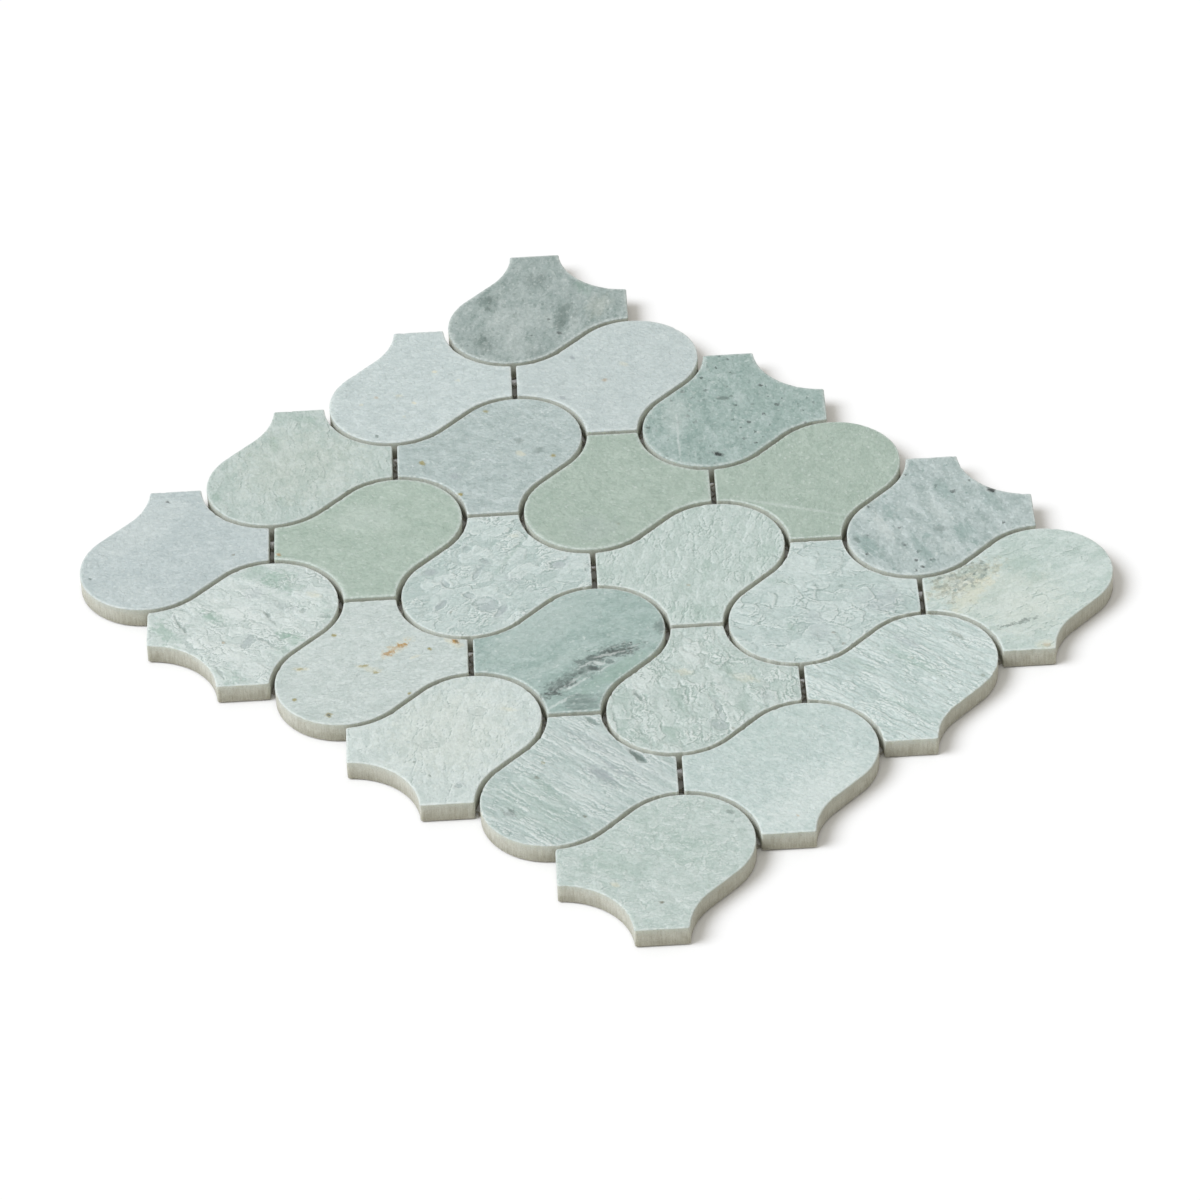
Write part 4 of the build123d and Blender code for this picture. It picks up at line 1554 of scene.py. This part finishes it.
@dataclass
class BackingNet:
    """Leno net that the stones are bonded to: paired strands along X lock the flat yarns along Y.

    How far threads wander is read along one row of noise, from wander_start on.
    """

    pitch: float = 4.7 * MM
    yarn_width: float = 1.0 * MM
    yarn_height: float = 0.22 * MM
    strand_width: float = 0.52 * MM
    strand_height: float = 0.14 * MM
    strand_gap: float = 0.34 * MM
    tail: float = 0.6 * MM
    wander: float = 0.12 * MM
    wander_length: float = 9 * MM
    wander_start: float = 50.0
    strand_row: float = 2.2
    yarn_row: float = 4.4
    strand_seed: int = 2000
    yarn_seed: int = 3000
    sides: int = 6
    filament_relief: float = 0.05 * MM
    fibre: Colour = swatch(214, 211, 202)
    resin: Colour = swatch(184, 180, 168)

    def build(self) -> None:
        """Build and dress both thread sets in place of their solids."""
        material = self._material()
        for name, node, runs in (("net_paired_strands", "net_lengthwise_threads", self._strands()),
                                 ("net_flat_yarns", "net_crosswise_threads", self._yarns())):
            piece = self._weave(name, runs)
            piece.data.materials.append(material)
            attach(piece, BODY)
            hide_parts(node)
            log.info("%s: %d polygons", name, len(piece.data.polygons))

    def _lines(self, node: str, axis: int) -> np.ndarray:
        """Middles of one set's threads, spread evenly over its solid's box across an axis.

        Args:
            node: the set's solid.
            axis: the axis, 0 for X or 1 for Y.

        Returns:
            The middles along that axis.
        """
        low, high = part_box(node)
        first, last = low[axis] + self.yarn_width / 2, high[axis] - self.yarn_width / 2
        return np.linspace(first, last, round((last - first) / self.pitch) + 1)

    @staticmethod
    def _middle() -> float:
        """Height of the net's middle."""
        return (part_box("net_lengthwise_threads")[0][2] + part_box("net_crosswise_threads")[1][2]) / 2

    def _along(self, crossings: np.ndarray, *others: np.ndarray) -> np.ndarray:
        """Places along a thread, its two ends among them.

        Args:
            crossings: where other threads cross it.
            others: places between those.

        Returns:
            The places in order.
        """
        first = crossings[0] - self.yarn_width / 2 - self.tail
        last = crossings[-1] + self.yarn_width / 2 + self.tail
        return np.sort(np.concatenate([crossings, *others, [first, last]]))

    def _drift(self, seed: int, along: np.ndarray, row: float) -> np.ndarray:
        """How far a thread wanders to the side at places along it."""
        start = along / self.wander_length + self.wander_start
        return self.wander * PlaneNoise(seed).smooth(start, np.full_like(along, row))

    def _strands(self) -> list[Run]:
        """Runs of the paired strands, each over and under the yarns by turns.

        Returns:
            The runs.
        """
        crossings = self._lines("net_crosswise_threads", 0)
        middle = self._middle()
        swing = middle - self.strand_height / 2
        along = self._along(crossings, (crossings[:-1] + crossings[1:]) / 2)
        phase = np.arange(len(along)) - 1
        runs = []
        for index, across in enumerate(self._lines("net_lengthwise_threads", 1)):
            drift = self._drift(self.strand_seed + index, along, self.strand_row)
            for side in (-1, 1):
                wave = np.where(phase % 2 == 0, np.where(phase % 4 == 0, 1.0, -1.0), 0.0) * side
                wave *= 1 if index % 2 else -1
                path = np.stack([along, across + side * self.strand_gap / 2 + drift,
                                 middle + swing * wave], 1)
                runs.append((path, self.strand_width / 2, self.strand_height / 2))
        return runs

    def _yarns(self) -> list[Run]:
        """Runs of the flat yarns, which lie nearly straight at mid height.

        Returns:
            The runs.
        """
        along = self._along(self._lines("net_lengthwise_threads", 1))
        runs = []
        for index, across in enumerate(self._lines("net_crosswise_threads", 0)):
            drift = self._drift(self.yarn_seed + index, along, self.yarn_row)
            path = np.stack([across + drift, along, np.full_like(along, self._middle())], 1)
            runs.append((path, self.yarn_width / 2, self.yarn_height / 2))
        return runs

    def _weave(self, name: str, runs: list[Run]) -> bpy.types.Object:
        """One object of flat tubes along the given runs.

        Args:
            name: the new object's name.
            runs: for each thread its path, half its width and half its height.

        Returns:
            The object.
        """
        corner = np.arange(self.sides)
        angles = corner * 2 * math.pi / self.sides + math.pi / self.sides
        points, faces, start = [], [], 0
        for path, half_width, half_height in runs:
            runs_along_x = abs(path[-1, 0] - path[0, 0]) > abs(path[-1, 1] - path[0, 1])
            side = np.array((0.0, 1.0, 0.0) if runs_along_x else (-1.0, 0.0, 0.0))
            section = (np.cos(angles)[:, None] * side * half_width
                       + np.sin(angles)[:, None] * np.array((0.0, 0.0, 1.0)) * half_height)
            rings = path[:, None, :] + section[None, :, :]
            points.append(rings.reshape(-1, 3))
            ring = np.arange(len(path) - 1)[:, None] * self.sides + start
            here, next_side = ring + corner, ring + (corner + 1) % self.sides
            quads = np.stack([here, next_side, next_side + self.sides, here + self.sides], -1)
            faces.extend(quads.reshape(-1, 4).tolist())
            faces.append(list(range(start + self.sides - 1, start - 1, -1)))
            last = start + (len(path) - 1) * self.sides
            faces.append(list(range(last, last + self.sides)))
            start += len(path) * self.sides
        mesh = bpy.data.meshes.new(name)
        mesh.from_pydata(np.concatenate(points).tolist(), [], faces)
        mesh.shade_smooth()
        return new_object(name, mesh)

    def _material(self) -> bpy.types.Material:
        """Glass fibre stiffened with resin, with the filaments' lines along the threads.

        Returns:
            The material.
        """
        material, board, shader = new_material("net_glass_fibre")
        place = board.place_mm()
        patches = board.noise(place, 0.35, detail=4.0, rough=0.6)
        filaments = board.noise(place, 6.0, detail=2.0, rough=0.6)
        board.feed(shader, {
            "Base Color": board.blend(board.step(patches, 0.4, 0.65), self.fibre, self.resin),
            "Roughness": board.step(patches, 0.4, 0.65, 0.6, 0.35),
            "Normal": board.bump(filaments, 0.4, self.filament_relief)})
        return material


@dataclass
class Studio:
    """Pale floor, soft light from the left and the camera."""

    floor_reach: float = 10.0
    floor_level: float = -0.00005
    floor_shade: float = 0.98
    bounce_colour: Colour = (0.53, 0.49, 0.42, 1.0)
    sky_colour: Colour = (1.015, 0.99, 0.93, 1.0)
    key_colour: tuple[float, float, float] = (0.985, 1.01, 1.07)
    sky_level: float = 0.525
    key_share: float = 0.525
    key_height_deg: float = 50.0
    key_from: tuple[float, float] = (-0.52, -0.85)
    key_softness_deg: float = 36.0
    camera_place: tuple[float, float, float] = (1.25937, -1.27598, 1.42678)
    camera_target: tuple[float, float, float] = (0.01483, -0.01252, 0.0085)
    camera_roll_deg: float = 2.995
    lens_mm: float = 180.49
    sensor_mm: float = 36.0

    def build(self) -> None:
        """Set up the view, the light, the floor and the camera."""
        bpy.context.scene.view_settings.view_transform = "Standard"
        self._sky()
        self._key()
        self._floor()
        self._camera()

    def _sky(self) -> None:
        """Even light from all round, a little warm."""
        world = bpy.data.worlds.new("studio_sky")
        world.use_nodes = True
        sky = world.node_tree.nodes["Background"]
        sky.inputs["Color"].default_value = self.sky_colour
        sky.inputs["Strength"].default_value = self.sky_level
        bpy.context.scene.world = world

    def _key(self) -> None:
        """One broad soft light from the left of the camera, as cool as the sky is warm."""
        rise = math.radians(self.key_height_deg)
        lamp = bpy.data.lights.new("soft_key", "SUN")
        lamp.energy = self.key_share * math.pi / math.sin(rise)
        lamp.color = self.key_colour
        lamp.angle = math.radians(self.key_softness_deg)
        source = Vector((*self.key_from, math.hypot(*self.key_from) * math.tan(rise)))
        new_object("soft_key", lamp).rotation_euler = source.to_track_quat("Z", "Y").to_euler()

    def _floor(self) -> None:
        """A pale floor that looks white, and throws back less light than it shows, and warmer."""
        reach = self.floor_reach
        plan = ((-reach, -reach), (reach, -reach), (reach, reach), (-reach, reach))
        mesh = bpy.data.meshes.new("studio_floor")
        mesh.from_pydata([(x, y, self.floor_level) for x, y in plan], [], [(0, 1, 2, 3)])
        floor = new_object("studio_floor", mesh)
        material, board, shader = new_material("floor_paper")
        ray = board.put("LightPath", {}).outputs
        seen = board.sum("MAXIMUM", ray["Is Camera Ray"], ray["Is Glossy Ray"])
        seen = board.sum("MAXIMUM", seen, ray["Is Transmission Ray"])
        colour = board.blend(seen, self.bounce_colour, (*[self.floor_shade] * 3, 1.0))
        board.feed(shader, {"Base Color": colour, "Roughness": 1.0, "Specular IOR Level": 0.0})
        mesh.materials.append(material)

    def _camera(self) -> None:
        """The camera, turned a little about its own axis."""
        data = bpy.data.cameras.new("camera")
        data.lens = self.lens_mm
        data.sensor_width = self.sensor_mm
        camera = new_object("camera", data)
        ahead = (Vector(self.camera_target) - Vector(self.camera_place)).normalized()
        level_right = ahead.cross(Vector((0.0, 0.0, 1.0))).normalized()
        level_up = level_right.cross(ahead)
        roll = math.radians(self.camera_roll_deg)
        up = level_up * math.cos(roll) + level_right * math.sin(roll)
        right = ahead.cross(up)
        turn = Matrix((right, up, -ahead)).transposed()
        camera.matrix_world = Matrix.Translation(self.camera_place) @ turn.to_4x4()
        bpy.context.scene.camera = camera


def main() -> None:
    """Build the studio, the stones and the net."""
    logging.basicConfig(level=logging.INFO, format="%(name)s: %(message)s")
    Studio().build()
    smooth_template = StoneTemplate(face_step=SMOOTH_FACE_STEP)
    MosaicStones(StoneTemplate(), smooth_template, MarbleFinisher(Effects())).build()
    BackingNet().build()


if __name__ == "__main__":
    main()
